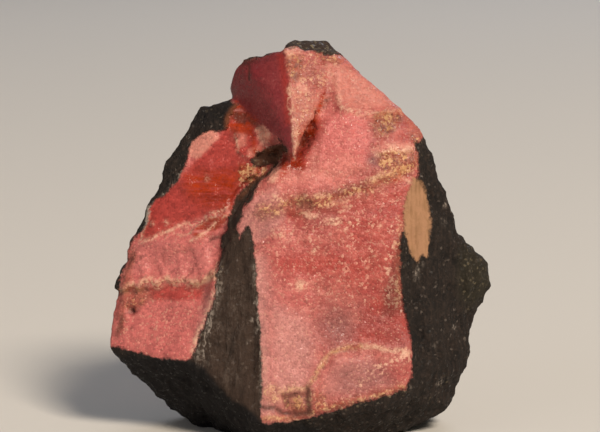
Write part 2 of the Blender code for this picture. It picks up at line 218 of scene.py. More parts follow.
@dataclass(frozen=True)
class Step:
    """A sharp step in the surface along a drawn line: one side stands out and falls away from the line."""

    path: Path
    rise_mm: float
    fade_mm: float
    side: Side = Side.LEFT
    sharp_mm: float = 0.35
    end_fade_mm: float = 1.5

    def height(self, drawn: np.ndarray) -> np.ndarray:
        """How far each point stands out.

        Args:
            drawn: the points.

        Returns:
            An (n,) array in mm.
        """
        nearest = np.full(len(drawn), FAR_MM)
        beside, past = np.zeros(len(drawn)), np.zeros(len(drawn))
        for start, end in zip(self.path, self.path[1:]):
            along = np.array(end) - np.array(start)
            away = drawn - np.array(start)
            t = (away @ along) / (along @ along)
            distance = stroke_distance(drawn, start, end)
            left = np.sign(along[0] * away[:, 1] - along[1] * away[:, 0])
            closer = distance < nearest
            beside = np.where(closer, left * distance, beside)
            past = np.where(closer, np.where((t < 0.0) | (t > 1.0), distance, 0.0), past)
            nearest = np.minimum(nearest, distance)
        beside = beside * self.side.value
        rise = fade(beside, -self.sharp_mm, self.sharp_mm) * np.exp(-np.maximum(beside, 0.0) / self.fade_mm)
        return self.rise_mm * rise * np.exp(-past / self.end_fade_mm)


# ---------------------------------------------------------------- where each finish lies


MAIN_FACE: Path = (
    (-7.9, 5.9), (-8.1, 8.2), (-7.9, 11.6), (-7.9, 17), (-7.9, 22), (-8.6, 27.6), (-8.8, 33), (-9, 36.8),
    (-9.6, 40.8), (-10.2, 44), (-11.2, 44.9), (-11.7, 43.9), (-12.5, 42.2), (-12.9, 44.3), (-12.1, 46.7),
    (-11.7, 48.5), (-10.2, 50.3), (-9.1, 51.6), (-8.4, 53.2), (-6.9, 54.4), (-5.8, 55.6), (-4.9, 57.2),
    (-4.1, 57.6), (-3.6, 59.2), (-2.4, 59.8), (-1.4, 59.8), (-1.4, 62.4), (-2, 68.3), (-2.7, 73.2),
    (-3.5, 78.1), (-3.7, 80.2), (-3.3, 80.6), (-0.6, 80.4), (3.2, 79.4), (5.7, 79), (7.7, 78.8),
    (9.4, 78.4), (15.4, 73.8), (21, 68.6), (25.9, 65.5), (25.8, 63.6), (25, 61.6), (23.3, 61), (24.3, 59.2),
    (24.1, 55.1), (23.4, 53.4), (22, 49.8), (21.6, 45), (20.4, 41.5), (20.5, 34.2), (21.1, 27.5),
    (22.1, 22.9), (22.7, 18.4), (22.7, 14.9), (21, 11.5), (16.1, 10.5), (11.4, 9.4), (6.1, 7.5), (1.6, 6.3),
    (-2.2, 5.4), (-7.1, 5.3),
)
LEFT_FACE: Path = (
    (-41, 18.6), (-39.6, 24), (-37.9, 30.1), (-36.3, 36.2), (-34.8, 40.8), (-32.4, 43.4), (-31.2, 47.4),
    (-26.9, 51.4), (-24.2, 54.8), (-23.5, 58), (-22.7, 60.4), (-21.2, 62), (-19.5, 62.8), (-17.4, 62.9),
    (-15.4, 63.5), (-14.9, 66.2), (-13.5, 67.8), (-10.6, 66.2), (-8.1, 64), (-6, 62.7), (-3.6, 61.6),
    (-6.4, 60), (-8.9, 58.9), (-10.6, 57.4), (-9.4, 56.1), (-6.3, 56.6), (-5.6, 56), (-8.9, 53.9),
    (-11.4, 52.3), (-13.5, 49.7), (-14.5, 47.3), (-14.6, 44.9), (-15.2, 42.9), (-16.7, 41.8), (-16.3, 39.3),
    (-17, 35.5), (-17.8, 29.6), (-19.5, 25.3), (-21.2, 20.3), (-22.7, 16.9), (-26, 16.9), (-28.8, 16.9),
    (-31.6, 17.4), (-36.2, 18.2), (-39.5, 18.6),
)
KNOB_SIDE: Path = (
    (-14.9, 69.2), (-15.1, 72.4), (-14, 75.8), (-12.3, 77.3), (-8.1, 78.5), (-3.7, 80.2), (-3.1, 76.9),
    (-2.2, 72.6), (-1.8, 68.3), (-1.4, 63.4), (-1.2, 57.8), (-2.6, 60.3), (-4.7, 62.5), (-7.2, 63.9),
    (-10.6, 65.8), (-12.5, 67.9),
)
CLAY_SKIN: Path = (
    (23, 54.4), (24.5, 53.5), (25.1, 52.4), (26.1, 49.5), (26.6, 45), (26.5, 41.4), (26.3, 38.3),
    (25.7, 37.8), (25.2, 38.9), (24.4, 38), (23.8, 36.8), (22.9, 38.4), (21.8, 40.8), (21.2, 44.7),
    (21.2, 48.8), (22, 51.8),
)
NUB: Path = (
    (33.5, 39.1), (35.4, 39.1), (37.7, 37.2), (39.7, 34.1), (40.2, 31.5), (38.9, 28.6), (37.1, 26.8),
    (34.9, 26.3), (33.3, 28.3), (32.3, 32.7),
)
RED_ZONE: Path = (
    (-34, 41), (-32, 47), (-27.8, 51.5), (-24, 54.5), (-22, 57), (-18.5, 60.6), (-17, 62.5), (-14.5, 66.5),
    (-10.6, 66), (-6, 62), (-9, 58), (-10.5, 56), (-9.5, 54), (-13.5, 50), (-14.5, 47.5), (-18.4, 46.2),
    (-22.2, 44.7), (-26.7, 42.9), (-29.5, 41.9), (-31.6, 40.7),
)
RUST_CORE: Path = (
    (-23.8, 54.2), (-19.5, 55.2), (-15.4, 55.2), (-11.8, 55.6), (-13.4, 50.5), (-15.2, 47.8), (-19.5, 47.6),
    (-23, 49.3), (-24.6, 52),
)
GASH_TOP: Path = ((4.3, 70.9), (3.2, 67.6), (2.1, 65), (1, 62.6), (2.8, 62.4), (3, 64.6), (4.2, 68.1))
GASH_TIP: Point = (2.8, 66.4)
GASH: Path = ((4.9, 72), (3.9, 69), (2.4, 65.4), (0.9, 62), (-0.4, 57.8))
WINDOW: Path = (
    (-21, 12), (-24, 22), (-22.5, 33), (-25, 41), (-17, 47.5), (-12, 55), (-3, 58.5), (4, 54), (9, 55.5),
    (12.5, 47), (10, 39), (14, 30), (10.5, 21), (4, 17.5), (1, 10.5), (-8, 12.5), (-14, 8.5),
)
SEAM: Path = (
    (-8, 47.7), (-5.3, 48.4), (-2.9, 49.5), (-0.2, 50.1), (3.9, 49.7), (7.8, 51.1), (10.6, 51.6),
    (14.1, 52.4), (17.2, 54.4), (20.3, 55.9), (23.6, 57.4),
)
LOWER_SEAM: Path = (
    (-6.3, 42.9), (-3.3, 43.3), (0.4, 44.4), (3.9, 44.9), (7.4, 46), (10.4, 45.2), (15, 45.6),
)
UPPER_EDGE: Path = (
    (6.4, 76.8), (6.8, 73.6), (7.6, 70.6), (8.8, 67.7), (12.1, 67), (17.3, 67.1), (20.5, 67.3),
)
SCAR_RIM: Path = (
    (1.3, 12.4), (1.9, 13.2), (3.7, 16), (4.8, 18), (6.3, 19.6), (8.5, 20.1), (12, 20.5), (15, 20.2),
    (18.4, 19.6), (21.8, 19),
)
LEDGE: Path = (
    (-38.4, 30), (-36.3, 30.4), (-34.9, 31.2), (-33.6, 30.6), (-32.6, 32), (-31, 32.5), (-29.8, 31.4),
    (-28.7, 32.6), (-27.6, 33), (-26.7, 32.1), (-25.1, 32.5), (-23.7, 32.8), (-22.8, 32.1), (-21.6, 32),
    (-20.3, 33.1), (-18.7, 33.7), (-17.4, 34.4),
)
FOLDS: tuple[Path, ...] = (
    ((-33.4, 40), (-31.6, 40.7), (-29.5, 41.9), (-26.7, 42.9), (-25.2, 43.5), (-22.7, 44.1),
        (-20.8, 44.4), (-18.6, 46.2), (-15.4, 47.9)),
    ((-25.8, 41.2), (-23.1, 42.1), (-21.3, 43.7), (-19, 45.1), (-15.4, 47.2)),
    ((-22.8, 40.7), (-20.8, 41.8), (-18.1, 43.6), (-16.1, 45.7), (-14.7, 46.6)),
)
BOTTOM_RIM: Path = ((2, 6.6), (4.6, 7.5), (10.6, 9.4), (15.1, 10.6), (19.7, 11.2), (21.8, 12.6))
STRIP_EDGE: Path = ((-7.5, 9.2), (-7.9, 14), (-7.9, 21), (-8.6, 27.6), (-8.8, 33), (-9, 36.8))
STRIP_LEFT: Path = ((-20.1, 23.2), (-18.9, 27.4), (-17.8, 31.6), (-16.8, 35.6))
LEFT_RIM: Path = (
    (-38.5, 20.9), (-37.9, 25), (-36.7, 30.1), (-35.1, 36.2), (-33.2, 41.4), (-31.5, 45.5), (-28.2, 50.3),
    (-24.8, 54.5), (-23.4, 57.9), (-21.7, 62),
)
CREST: Path = ((-3.5, 79.6), (-3.1, 76.9), (-2.5, 73.2), (-2, 69.3), (-1.6, 64.4), (-1.2, 58.2))
KNOB_FOOT: Path = ((-12.4, 67.4), (-10.6, 66), (-7.6, 63.9), (-5.6, 62.6))
UNDERSIDE: Path = (
    (-46, 17), (-33.4, 16.8), (-27, 16.8), (-23.9, 16.6), (-21.9, 16.3), (-19.5, 15.4), (-17.9, 13.6),
    (-16.4, 11.4), (-14.7, 9.8), (-12.4, 8.8), (-10.4, 7.5), (-7.5, 5.5), (4, 4), (4, -4), (-46, -4),
)
FOOT_CREAM: Path = (
    (-7.9, 12.2), (-6.3, 13.4), (-4.3, 12.8), (-1.8, 13.2), (1, 13.1), (2.2, 12.4), (4.3, 11.2), (5.9, 9.5),
    (5.1, 7.5), (-0.2, 8), (-4.3, 8.8), (-7.7, 9.4),
)
CLEFT_GOLD: Path = ((-12.9, 56.8), (-9.6, 56.4), (-5.7, 56.4), (-7.4, 54.4), (-10.1, 52.5), (-13.4, 53.1))
UPPER_GOLD: Path = (
    (14.8, 67.1), (17.3, 67.6), (20.5, 67.3), (20.8, 65.3), (18.7, 63.8), (17.5, 62.5), (15.4, 62.6),
    (14.6, 64.8),
)


class Share(Enum):
    """What every point of the skin carries: its share of each zone, 0 to 1, and three measures in mm.

    LEFT, KNOB, NUB and WINDOW are places; the others up to ROSE are tints, stains and grains.  PINK_MM and
    CLAY_MM say how far inside the pink's and the clay's edge a point lies, and PROUD how far it stands out
    of its surroundings.
    """

    LEFT = "left"
    KNOB = "knob"
    NUB = "nub"
    DUSTY = "dusty"
    RED = "red"
    RUST = "rust"
    OCHRE = "ochre"
    HAZE_AND_SHADE = "haze_and_shade"
    PALE = "pale"
    ASHEN = "ashen"
    GRAINS = "grains"
    CREAM = "cream"
    UMBER = "umber"
    CHALK = "chalk"
    ROSE = "rose"
    WINDOW = "window"
    PINK_MM = "pink_mm"
    CLAY_MM = "clay_mm"
    PROUD = "proud"


# Where the surface steps, and where each finish lies on the faces that look to the front.
STEPS: tuple[Step, ...] = (
    Step(LEDGE, 0.8, 3), Step(FOLDS[0], 0.6, 1.6, Side.RIGHT), Step(FOLDS[1], 0.55, 0.9, Side.RIGHT),
    Step(FOLDS[2], 0.5, 0.8, Side.RIGHT), Step(SCAR_RIM, 0.35, 3), Step(SEAM, 0.45, 2.5),
    Step(LOWER_SEAM, 0.2, 1.5), Step(UPPER_EDGE, 0.25, 2.5),
    Step(((-23.4, 57.2), (-21.5, 57.4), (-17.5, 61.4), (-17.4, 63.4)), 0.35, 1.5),
    Step(((-13.6, 62.4), (-13, 59)), 0.4, 1.2),
    Step(((-12.4, 62.4), (-10.2, 63), (-9.6, 61)), 0.3, 1, Side.RIGHT),
    Step(((-9.6, 60.4), (-9.6, 63.3), (-7.4, 64.5)), 0.35, 1.2, Side.RIGHT),
    Step(((-3.8, 8.2), (-4, 11), (-2.6, 11.7), (0.6, 11.7)), 0.45, 1.5),
    Step(((1.2, 13.2), (1.5, 10.2), (1.5, 7.4)), 0.45, 1.5),
)
SHAPES: dict[Share, tuple[Patch | Trail | Spots, ...]] = {
    Share.LEFT: (Patch(LEFT_FACE, soft_mm=0.5),),
    Share.KNOB: (Patch(KNOB_SIDE, soft_mm=0.35),),
    Share.NUB: (Patch(NUB, soft_mm=2),),
    Share.DUSTY: (
        Patch(((-8, 6), (-7, 20), (-8.5, 33), (-10.5, 44), (-14.5, 45), (-17, 36), (-19.5, 25),
            (-22.5, 17), (-18, 13), (-13, 8.4)), 1, 1.2),
        Patch(((-4.5, 79.4), (-3.5, 83), (8, 83), (9.5, 78), (4, 78.2)), 0.8),
        Patch(((-13, 57.5), (-8, 61), (-2, 60), (-3, 56.5), (-8, 52), (-14, 45), (-17, 46)), 1, 1),
    ),
    Share.RED: (
        Patch(RED_ZONE, 1, 0.9), Trail(((-6, 37.5), (0, 37), (6, 37.6), (13, 36)), 2.6, 0.7),
        Patch(((11.5, 21.8), (12, 28), (16, 31), (21.5, 29), (22.8, 20.8), (16, 21)), 0.9, 1.8),
        Patch(((6, 12), (9, 18), (19, 18), (20, 13), (12, 11)), 0.15, 1.5),
        Trail(((-2, 46.8), (3, 46.2), (10, 48.5), (17, 50.5)), 1.8, 0.5),
        Patch(((8, 33), (8, 47), (19, 49), (21, 40), (20.5, 26)), 0.5, 4),
        # painted shadow under the ledge
        Patch(((-31.5, 31.2), (-27.1, 32), (-22.6, 31.6), (-19.5, 32.4), (-20.6, 29.4), (-25.7, 28.4),
            (-30.9, 28.2)), 0.85, 0.7),
        Patch(((16, 46), (20.5, 46), (22, 52), (18, 53)), 0.55, 1.5),
        Trail(((-4.3, 79), (-3.8, 76.9), (-3.2, 73.2), (-2.8, 69.3), (-2.6, 66)), 0.8, 0.8),
        Trail(((0.6, 60.6), (-0.6, 58.2)), 1.6), Trail(((-4.6, 53.8), (-6.2, 51.6)), 0.5, 0.6),
        Patch(((-3.5, 59.2), (-1.8, 59.8), (-1, 58), (-1.4, 56), (-3.1, 55.8), (-4.1, 57)), 1, 0.5),
    ),
    Share.RUST: (
        Patch(RUST_CORE, 1, 2),
        Patch(((-16, 65.6), (-13.6, 69), (-9, 65.6), (-9.9, 62.7), (-13.6, 62.6), (-15.8, 63.8)), 1, 0.5),
        Trail(((-11, 64.6), (-10.3, 63), (-9.8, 61), (-9.6, 58.4)), 0.6), Patch(CLEFT_GOLD, 0.5, 0.5),
        Patch(((-22.6, 41.8), (-20.4, 44.6), (-16.3, 47), (-14.7, 46.2), (-15.4, 44.5), (-18.1, 42.3),
            (-21.2, 41.2)), 0.9, 0.4),
        Patch(((-3, 58.6), (-0.9, 57.9), (1, 57.6), (0.4, 55.9), (-2.2, 55.9), (-4.3, 54.3),
            (-3.9, 56.9)), 1, 0.4),
        Patch(GASH_TOP, 1, 0.3), Trail(GASH, 0.4), Trail(((18.5, 53.8), (21, 55)), 0.9, 0.7),
        Trail(((-4.6, 58.6), (-7, 59.4)), 0.9, 0.7), Trail(((-9, 55.2), (-12.5, 49.5)), 0.5, 0.6),
        Patch(((-10, 59.4), (-4, 61.4), (-2.5, 57.5), (-6, 56), (-9.6, 56.6)), 0.4),
    ),
    Share.OCHRE: (
        Trail(SEAM, 1.5, 0.9),
        Patch(((16, 59.2), (18.7, 59.7), (23.7, 59.4), (23.8, 56.8), (22.8, 54.8), (19.9, 54.7),
            (17, 55.6), (16, 57.2)), 1, 0.4),
        Patch(UPPER_GOLD, 1, 0.6),
        Patch(((22.1, 63.7), (24.6, 63.4), (25.2, 61.2), (23.7, 60.6), (22.5, 61.7)), 0.8, 0.6),
        Patch(((-36.9, 31), (-31.7, 31), (-31, 28.8), (-33.1, 27), (-36.8, 25.4)), 0.9, 0.7),
        Trail(((-37.6, 22), (-36.6, 30.4), (-35.9, 33.9), (-35, 37.4)), 0.8, 0.8),
        Patch(((-3.1, 79.1), (0.9, 79), (0.5, 76.1), (-0.2, 73.6), (-2.2, 73.6), (-2.9, 76.5)), 0.95, 0.5),
        Patch(((0.5, 78.2), (5.7, 78.1), (5.1, 72.4), (2.4, 71.7), (0.2, 74.4)), 0.4, 0.6),
        Patch(((-2.4, 73), (2.4, 71.7), (4.6, 70.5), (2.8, 66), (0.6, 61.5), (-0.9, 59),
            (-1.6, 66)), 0.35, 0.6),
        Trail(((3.2, 78.9), (5.8, 78.3), (8.3, 77.9)), 0.8, 0.8), Trail(((5.6, 70.4), (4.4, 69)), 0.9, 0.9),
        Patch(CLEFT_GOLD, 0.9, 0.4),
        Trail(((-7.6, 6.4), (-2, 6.6), (4, 8), (11.4, 10), (20.6, 12)), 0.9, 0.85),
        Patch(((-3.7, 11.5), (0.9, 11.5), (1.2, 7.6), (-1.3, 7.3), (-3.7, 8.5)), 1, 0.3),
        Patch(FOOT_CREAM, 0.55, 1), Patch(((2.4, 11.7), (5.1, 10.7), (5.1, 7.9), (2.7, 7.9)), 0.9),
        Trail(LEDGE, 0.5, 0.35), Trail(((21, 45), (20.2, 38), (20.2, 30)), 1.2, 0.7),
        Trail(SCAR_RIM[:7], 0.6, 0.8), Trail(((18, 67.6), (21, 66.6), (24.4, 64)), 0.8, 0.6),
        Trail(((-0.5, 47.5), (-3.5, 48.5)), 1, 0.5),
    ),
    Share.ROSE: (
        Patch(LEFT_FACE, 0.85, 1.5),
        Patch(((6, 66.5), (9, 67.7), (13.4, 66.8), (14.2, 62), (13.3, 57), (9, 55.6), (3.9, 56),
            (3.6, 60.1)), 1, 0.7),
        Patch(((-1, 56.2), (3, 56), (8, 55), (12, 54.5), (6, 52.5), (-3, 51.6), (-6, 53)), 0.7, 1.2),
        Patch(((-7, 8), (-7, 44), (-2, 45), (3, 30), (5, 18), (3, 8)), 0.55, 2.5),
        Patch(((4.5, 11), (5, 15), (8, 18.8), (20, 18), (20, 13)), 0.3, 1.5),
        Patch(((3, 71), (3.5, 65), (6.5, 66), (6.5, 71)), 0.6),
    ),
    Share.HAZE_AND_SHADE: (
        Spots(((7.5, 24.6),), 4.6, 0.8), Trail(((12, 26.5), (17.5, 24), (21, 21.5)), 3.4, 0.4),
        Patch(((6, 11.5), (9, 17.5), (18, 17.5), (19.5, 13), (12, 11)), 0.55, 1.5),
        # the underside is painted shade; on the crust the next patch darkens the upper left
        Patch(UNDERSIDE, 1, 0.5),
        Patch(((-25.5, 63), (-17, 72.5), (-13.4, 71), (-16, 65.4), (-21, 64.2)), 0.75),
        Spots(((9.4, 15.2),), 2.4, 0.7), Spots(((1.8, 21),), 3, 0.3), Spots(((14.9, 58),), 1.4),
        Trail(((0.5, 77), (2.4, 75), (4.4, 73.4)), 1.4, 0.25), Trail(((-7, 44), (-6.4, 47)), 1.6, 0.4),
        Trail(((2, 46.2), (6, 46.8)), 1.4, 0.4),
    ),
    Share.PALE: (
        Patch(((-19.8, 63.4), (-17.5, 63.4), (-17.4, 61.4), (-21.4, 57.2), (-23.3, 58), (-23.3, 60.4),
            (-21.8, 62.4)), 1, 0.25),
        Patch(((-13, 63.3), (-11.4, 63.6), (-11, 62.4), (-11.4, 60.1), (-13, 59.4)), 0.6, 0.25),
        Patch(((-9.4, 63.5), (-8, 64.7), (-6.8, 64.2), (-6.2, 63.1), (-6.6, 60.9), (-8.1, 60.2),
            (-9.2, 61.4)), 1, 0.25),
        Patch(((-10.9, 59.4), (-7.4, 60.4), (-9, 58.3), (-10.9, 57.8)), 0.7, 0.3),
        Patch(((-5.4, 55.9), (-4.2, 56.5), (-4.6, 54.2), (-6.7, 53)), 0.7, 0.3),
        Patch(((-2.4, 73), (2.4, 71.7), (5, 70), (3.4, 66), (1, 61.5), (-0.9, 59), (-1.6, 66)), 0.4),
        Patch(((7.4, 78), (14, 73.8), (20.5, 68.4), (9.4, 68.4), (7.4, 72), (6.2, 76)), 0.55, 0.7),
        Patch(((0, 74.6), (-2.2, 71.5), (2.1, 71.8)), 0.9, 0.25),
        Trail(((5.7, 76.6), (6.7, 74), (7.8, 70.9)), 0.6, 0.8),
        Patch(((-3.6, 80.8), (-1.4, 80.5), (0.5, 80.1), (0.4, 78.8), (-3, 78.9)), 0.7, 0.4),
        Trail(((15, 60), (18.6, 61), (22, 60.8)), 0.6, 0.5),
        Trail(((4, 12.5), (9, 14), (15, 17)), 2.6, 0.1),
        Patch(((-6, 52.5), (0, 53), (8, 54), (13, 56), (10, 60), (2, 56.5), (-3, 55.5)), 0.35, 1.5),
    ),
    Share.ASHEN: (
        Trail(STRIP_EDGE, 3), Patch(((-6.5, 30), (1.5, 26), (3, 18), (1, 9), (-6.5, 8)), 0.95, 2.5),
        Patch(((-34.5, 39.5), (-28, 41), (-23.5, 39.5), (-17, 41.5), (-18, 35), (-27, 33.5),
            (-36, 33.5)), 0.2, 1.2),
        Patch(((4, 10), (4.5, 15), (8, 18.5), (14, 18.5), (18, 13)), 0.6, 1.5),
        Patch(((-13, 42.5), (-12.4, 46.5), (-10, 50.5), (-5, 53), (-3, 46), (-9, 41)), 0.75, 0.9),
        Trail(((-21.4, 20), (-18.6, 30)), 1.1, 0.7),
    ),
    Share.GRAINS: (
        Trail(SEAM, 1.7), Trail(LOWER_SEAM, 0.9, 0.75), Spots(((1.6, 48.6),), 2.6, 0.9),
        Trail(UPPER_EDGE, 0.7, 0.5),
        Patch(((17, 28), (17.2, 41), (18.5, 47), (21, 47), (20.4, 34), (21, 27)), 0.75, 0.9),
        Patch(UPPER_GOLD, 0.8),
        Patch(((15.6, 59.8), (18.7, 60.2), (23.7, 59.8), (23.8, 56.8), (22.8, 54.8), (19.9, 54.4),
            (17, 55.4), (15.6, 57.2)), 1, 0.6),
        Patch(((22.1, 63.9), (24.8, 63.4), (25.4, 61.2), (23.7, 60.4), (22.3, 61.7)), 0.8, 0.6),
        Trail(((15.1, 15.9), (18.1, 17.5), (21.1, 18.9)), 1.6, 0.9),
        Trail(((12, 12.9), (15.9, 15.3), (19.4, 17.9)), 1, 0.7),
        Patch(((-37.5, 29.5), (-18.5, 31.5), (-22, 19), (-37.5, 20.5)), 0.3, 1.2),
        Patch(((-6, 27), (-7, 46), (18, 50), (17, 27)), 0.33, 3),
        Patch(((-3.6, 80.8), (8, 79), (6, 72), (4.4, 70), (-0.9, 59), (-1.6, 66)), 0.55, 0.6),
        Trail(((-17, 36.5), (-17.8, 29.6), (-19.5, 25.3), (-22.6, 17.6)), 0.9, 0.8),
        Trail(STRIP_EDGE, 1, 0.5), Trail(LEDGE, 0.6, 0.8), Trail(BOTTOM_RIM, 1.3, 0.9),
        Patch(FOOT_CREAM, 0.75), Trail(((-7.1, 6.4), (-0.6, 5.8)), 0.8, 0.9),
        Patch(((-3.3, 10.8), (0.7, 10.8), (0.7, 8), (-3.3, 8.8)), 1, 0.4), Spots(((19, 49.5),), 2, 0.6),
        Patch(CLEFT_GOLD, 0.6, 0.4), Patch(((-5, 84), (9, 84), (9, 78.6), (-4, 80.6)), 0.8, 0.5),
        Patch(NUB, 0.5, 1.5), Patch(((-25, 62), (-17, 71), (-12, 70), (-16, 64.8), (-21, 63.4)), 0.3),
        Patch(((-12, 57.6), (-8, 60.5), (-2.5, 60), (-4, 56.5), (-9, 53), (-13, 49)), 0.9),
        Trail(((24, 8), (28.5, 9), (30, 12)), 1.2, 0.4),
    ),
    Share.CREAM: (
        # cream rims along scars, crests, ledges and folds; on crests and ledges partly a painted highlight
        Trail(SCAR_RIM[1:], 0.45, 0.9),
        Trail(((-6.3, 12.8), (-4, 12), (-2.6, 12.3), (0.9, 12.4)), 0.5, 0.9),
        Trail(((-6.8, 6.7), (-3.6, 6.2), (-0.4, 5.8)), 0.45, 0.9), Spots(((-5.4, 10.6),), 1.2, 0.6),
        Patch(((-2.2, 10.2), (0.6, 10.4), (0.6, 8.2), (-2.2, 8.6)), 0.45, 0.4),
        Trail(((15.8, 59.3), (18.7, 60.1), (23.3, 59.8)), 0.6, 0.9),
        Trail(((17.4, 55.6), (20.3, 54.7), (22.8, 53.2)), 0.35, 0.7),
        Trail(((8, 68.5), (13.4, 67.6)), 0.25, 0.6), Trail(LEDGE, 0.75), Trail(UPPER_EDGE[2:], 0.45, 0.6),
        Trail(CREST[2:], 0.35, 0.8), Trail(FOLDS[0], 0.4, 0.95), Trail(FOLDS[1], 0.3, 0.9),
        Trail(FOLDS[2], 0.3, 0.85),
        Trail(((-2.6, 72.5), (-2.4, 70), (-2, 67.6), (-1.1, 65.5), (-0.9, 61)), 0.4, 0.8),
        Patch(((-3.6, 79.6), (-2.4, 81), (-1.3, 80.3), (-2.2, 78.3)), 0.6, 0.4),
        # the first trail is a painted glint near the seam
        Trail(((2.6, 50.7), (4.6, 51)), 0.4), Trail(((0.4, 47.3), (1.8, 46.5), (3.4, 46.9)), 0.5, 0.9),
        Trail(((-5.4, 51.2), (-4.3, 49.6)), 0.3, 0.9),
        Patch(((-6.8, 54), (-5, 57.2), (-4.4, 56.6), (-5.6, 53.4)), 0.5, 0.4),
        # the spots are a painted glint
        Spots(((6.1, 49.5), (5.4, 49)), 0.5), Trail(((4.7, 45.9), (8.2, 46.6)), 0.24, 0.8),
        Trail(((4.9, 45.1), (8.4, 45.8)), 0.2, 0.7), Trail(((14, 53.9), (18, 55.2), (20.8, 56)), 0.7, 0.8),
        Trail(((7, 49.5), (9.6, 49.8)), 0.2, 0.8), Trail(((6.6, 48.6), (10.2, 48.8)), 0.18, 0.8),
        Trail(((7.6, 47.8), (9.8, 47.9)), 0.18, 0.6),
        Trail(((-13.6, 62.3), (-13.2, 60.6), (-12.9, 59)), 0.28),
        Spots(((-4.4, 43.2), (0, 32.9), (-4, 42.6)), 0.9, 0.9),
        Spots(((13.5, 36.6), (14.9, 38.9), (9.4, 43.8), (16.3, 44.8), (2.6, 39.6)), 0.45, 0.8),
        Spots(((-27.9, 44.2), (-19.4, 53.5), (-31, 44)), 0.5, 0.7),
        Patch(((-12.4, 53.6), (-12, 55.4), (-10.2, 55.6), (-9, 54.2), (-10.8, 53)), 0.7, 0.4),
        Trail(((1, 48), (0, 49.2), (0.6, 50.6)), 0.4, 0.8), Trail(((-7.2, 11), (-7.4, 20)), 0.4, 0.4),
        # the tongue under the knob, lightened against the knob's shade: painted light
        Patch(((-9.4, 63.3), (-8, 64.5), (-6.8, 64), (-6.2, 62.9), (-6.8, 61.2), (-8.1, 60.6)), 0.55, 0.4),
        Trail(((-33.4, 40.3), (-32.5, 43.7), (-31.9, 45.4)), 0.35, 0.7),
        Trail(((-17.2, 35.5), (-18.2, 29.6), (-19.9, 25.3), (-22.4, 19)), 0.45, 0.7),
    ),
    Share.UMBER: (
        Trail(((-8.1, 8.7), (-5.9, 8.4), (-3.5, 7.6), (-0.8, 7)), 0.45),
        Trail(((-1.4, 7.1), (1.8, 7.2)), 0.7), Trail(((1.5, 12.4), (1.5, 10.2), (1.5, 7.2)), 0.75),
        Patch(((-3.7, 11.4), (1, 11.6), (1, 10.6), (-2, 10.4), (-2.4, 9), (-3.7, 8.7)), 0.5, 0.5),
        Trail(BOTTOM_RIM, 0.3, 0.5), Spots(((1.2, 61.6),), 1.2, 0.65),
        Spots(((1.4, 49.2), (0.2, 49.5)), 1.1, 0.6), Spots(((-2.8, 58.8),), 1.2, 0.6),
        Patch(((-6.8, 60.6), (-5.6, 62.4), (-3.9, 61.9), (-6.4, 59.6)), 0.6, 0.4),
        Trail(((6, 51.3), (9, 52), (13, 53)), 0.9, 0.25), Spots(((-35.1, 26.1),), 0.7),
        Spots(((-33.5, 36.8), (-35.1, 22.4), (-31.6, 43.3)), 0.32, 0.95),
        Patch(((16.6, 26), (17, 33), (19.4, 39), (20.8, 44), (20.6, 34), (21.2, 27)), 0.55, 1.5),
        Patch(((14.6, 66.6), (20.6, 66.6), (20.2, 64.6), (17.5, 62.8), (14.8, 63.4)), 0.25),
        Spots(((1.6, 50.1), (0.6, 50.8)), 0.7, 0.6), Spots(((18.6, 63.8), (20.6, 65.6)), 0.8, 0.4),
        Trail(((-38.4, 21), (-37.4, 25)), 0.6, 0.7),
        Trail(((-38.6, 24), (-37.4, 30.1), (-35.6, 37)), 0.4, 0.7),
        Trail(((-11, 76.8), (-11, 73.7)), 0.3, 0.9), Spots(((-1.2, 74.6),), 0.7, 0.7),
        Trail(((-12.6, 76.8), (-10.2, 78.2), (-8.1, 79.1), (-6, 80.2), (-3.9, 81.6)), 1, 0.7),
        Trail(((-13, 58.6), (-11, 57.4)), 0.5, 0.6),
        # painted shade under the knob's lower edge
        Patch(((-14.9, 66.4), (-13.4, 67.5), (-10.8, 65.7), (-11.6, 64.2), (-13.4, 64.6)), 0.9, 0.6),
        Trail(((-12.6, 66.9), (-10.6, 65.4), (-8, 63.6)), 0.6, 0.6),
        Patch(((-15.2, 63.6), (-13.5, 63.9), (-12.4, 61.5), (-14.6, 60.6)), 0.35, 0.4),
        Trail(FOLDS[1][1:], 0.2, 0.5), Trail(((-18.6, 40.9), (-16.6, 41.9)), 0.35, 0.8),
    ),
    Share.CHALK: (
        Trail(STRIP_EDGE, 0.7, 0.45), Trail(STRIP_LEFT, 1.3, 0.6),
        Trail(((-20.5, 18), (-18.6, 24)), 1.8, 0.45),
        Spots(((-10.2, 26), (-10.6, 21.6), (-9.6, 29.4)), 0.35, 0.9),
        Trail(((-8.4, 25), (-8.9, 30)), 0.4, 0.9), Trail(LEFT_RIM[4:8], 0.5, 0.6),
        Trail(((-14.4, 14), (-13.6, 24), (-12.8, 33)), 2.2, 0.08),
        Spots(((-8.7, 31.6), (-9, 23.5)), 0.5, 0.9),
        Trail(((-17, 31.2), (-19.4, 22), (-20, 18.5)), 0.6, 0.6),
        Patch(((-33.8, 40.4), (-33, 44), (-32, 47), (-30.7, 48), (-31, 45.9), (-32.1, 43.3),
            (-32.3, 40.4)), 1, 0.3),
        Trail(((24.6, 36.7), (23.8, 34)), 0.5, 0.55),
        Spots(((27.4, 20.1), (32, 22.8), (29.5, 44.7), (29.8, 48.2), (28.6, 12)), 0.45, 0.9),
    ),
}


# ---------------------------------------------------------------- the stone's skin


@dataclass(frozen=True)
class Heights:
    """How high each small relief stands, in mm; window, pit, and grime with painted shade are how deep they
    lie.
    """

    sugar: float = 0.11
    swell: float = 0.1
    grains: float = 0.3
    rims: float = 0.12
    window: float = 0.15
    hackles: float = 0.7
    fine_hackles: float = 0.35
    splinters: float = 0.3
    flutes: float = 0.26
    grit: float = 0.3
    crust_swell: float = 0.2
    crags: float = 0.9
    nub: float = 0.55
    dirt_and_shade: float = 0.25
    clay_strokes: float = 0.05
    gash_tip: float = 0.9
    pit: float = 0.8


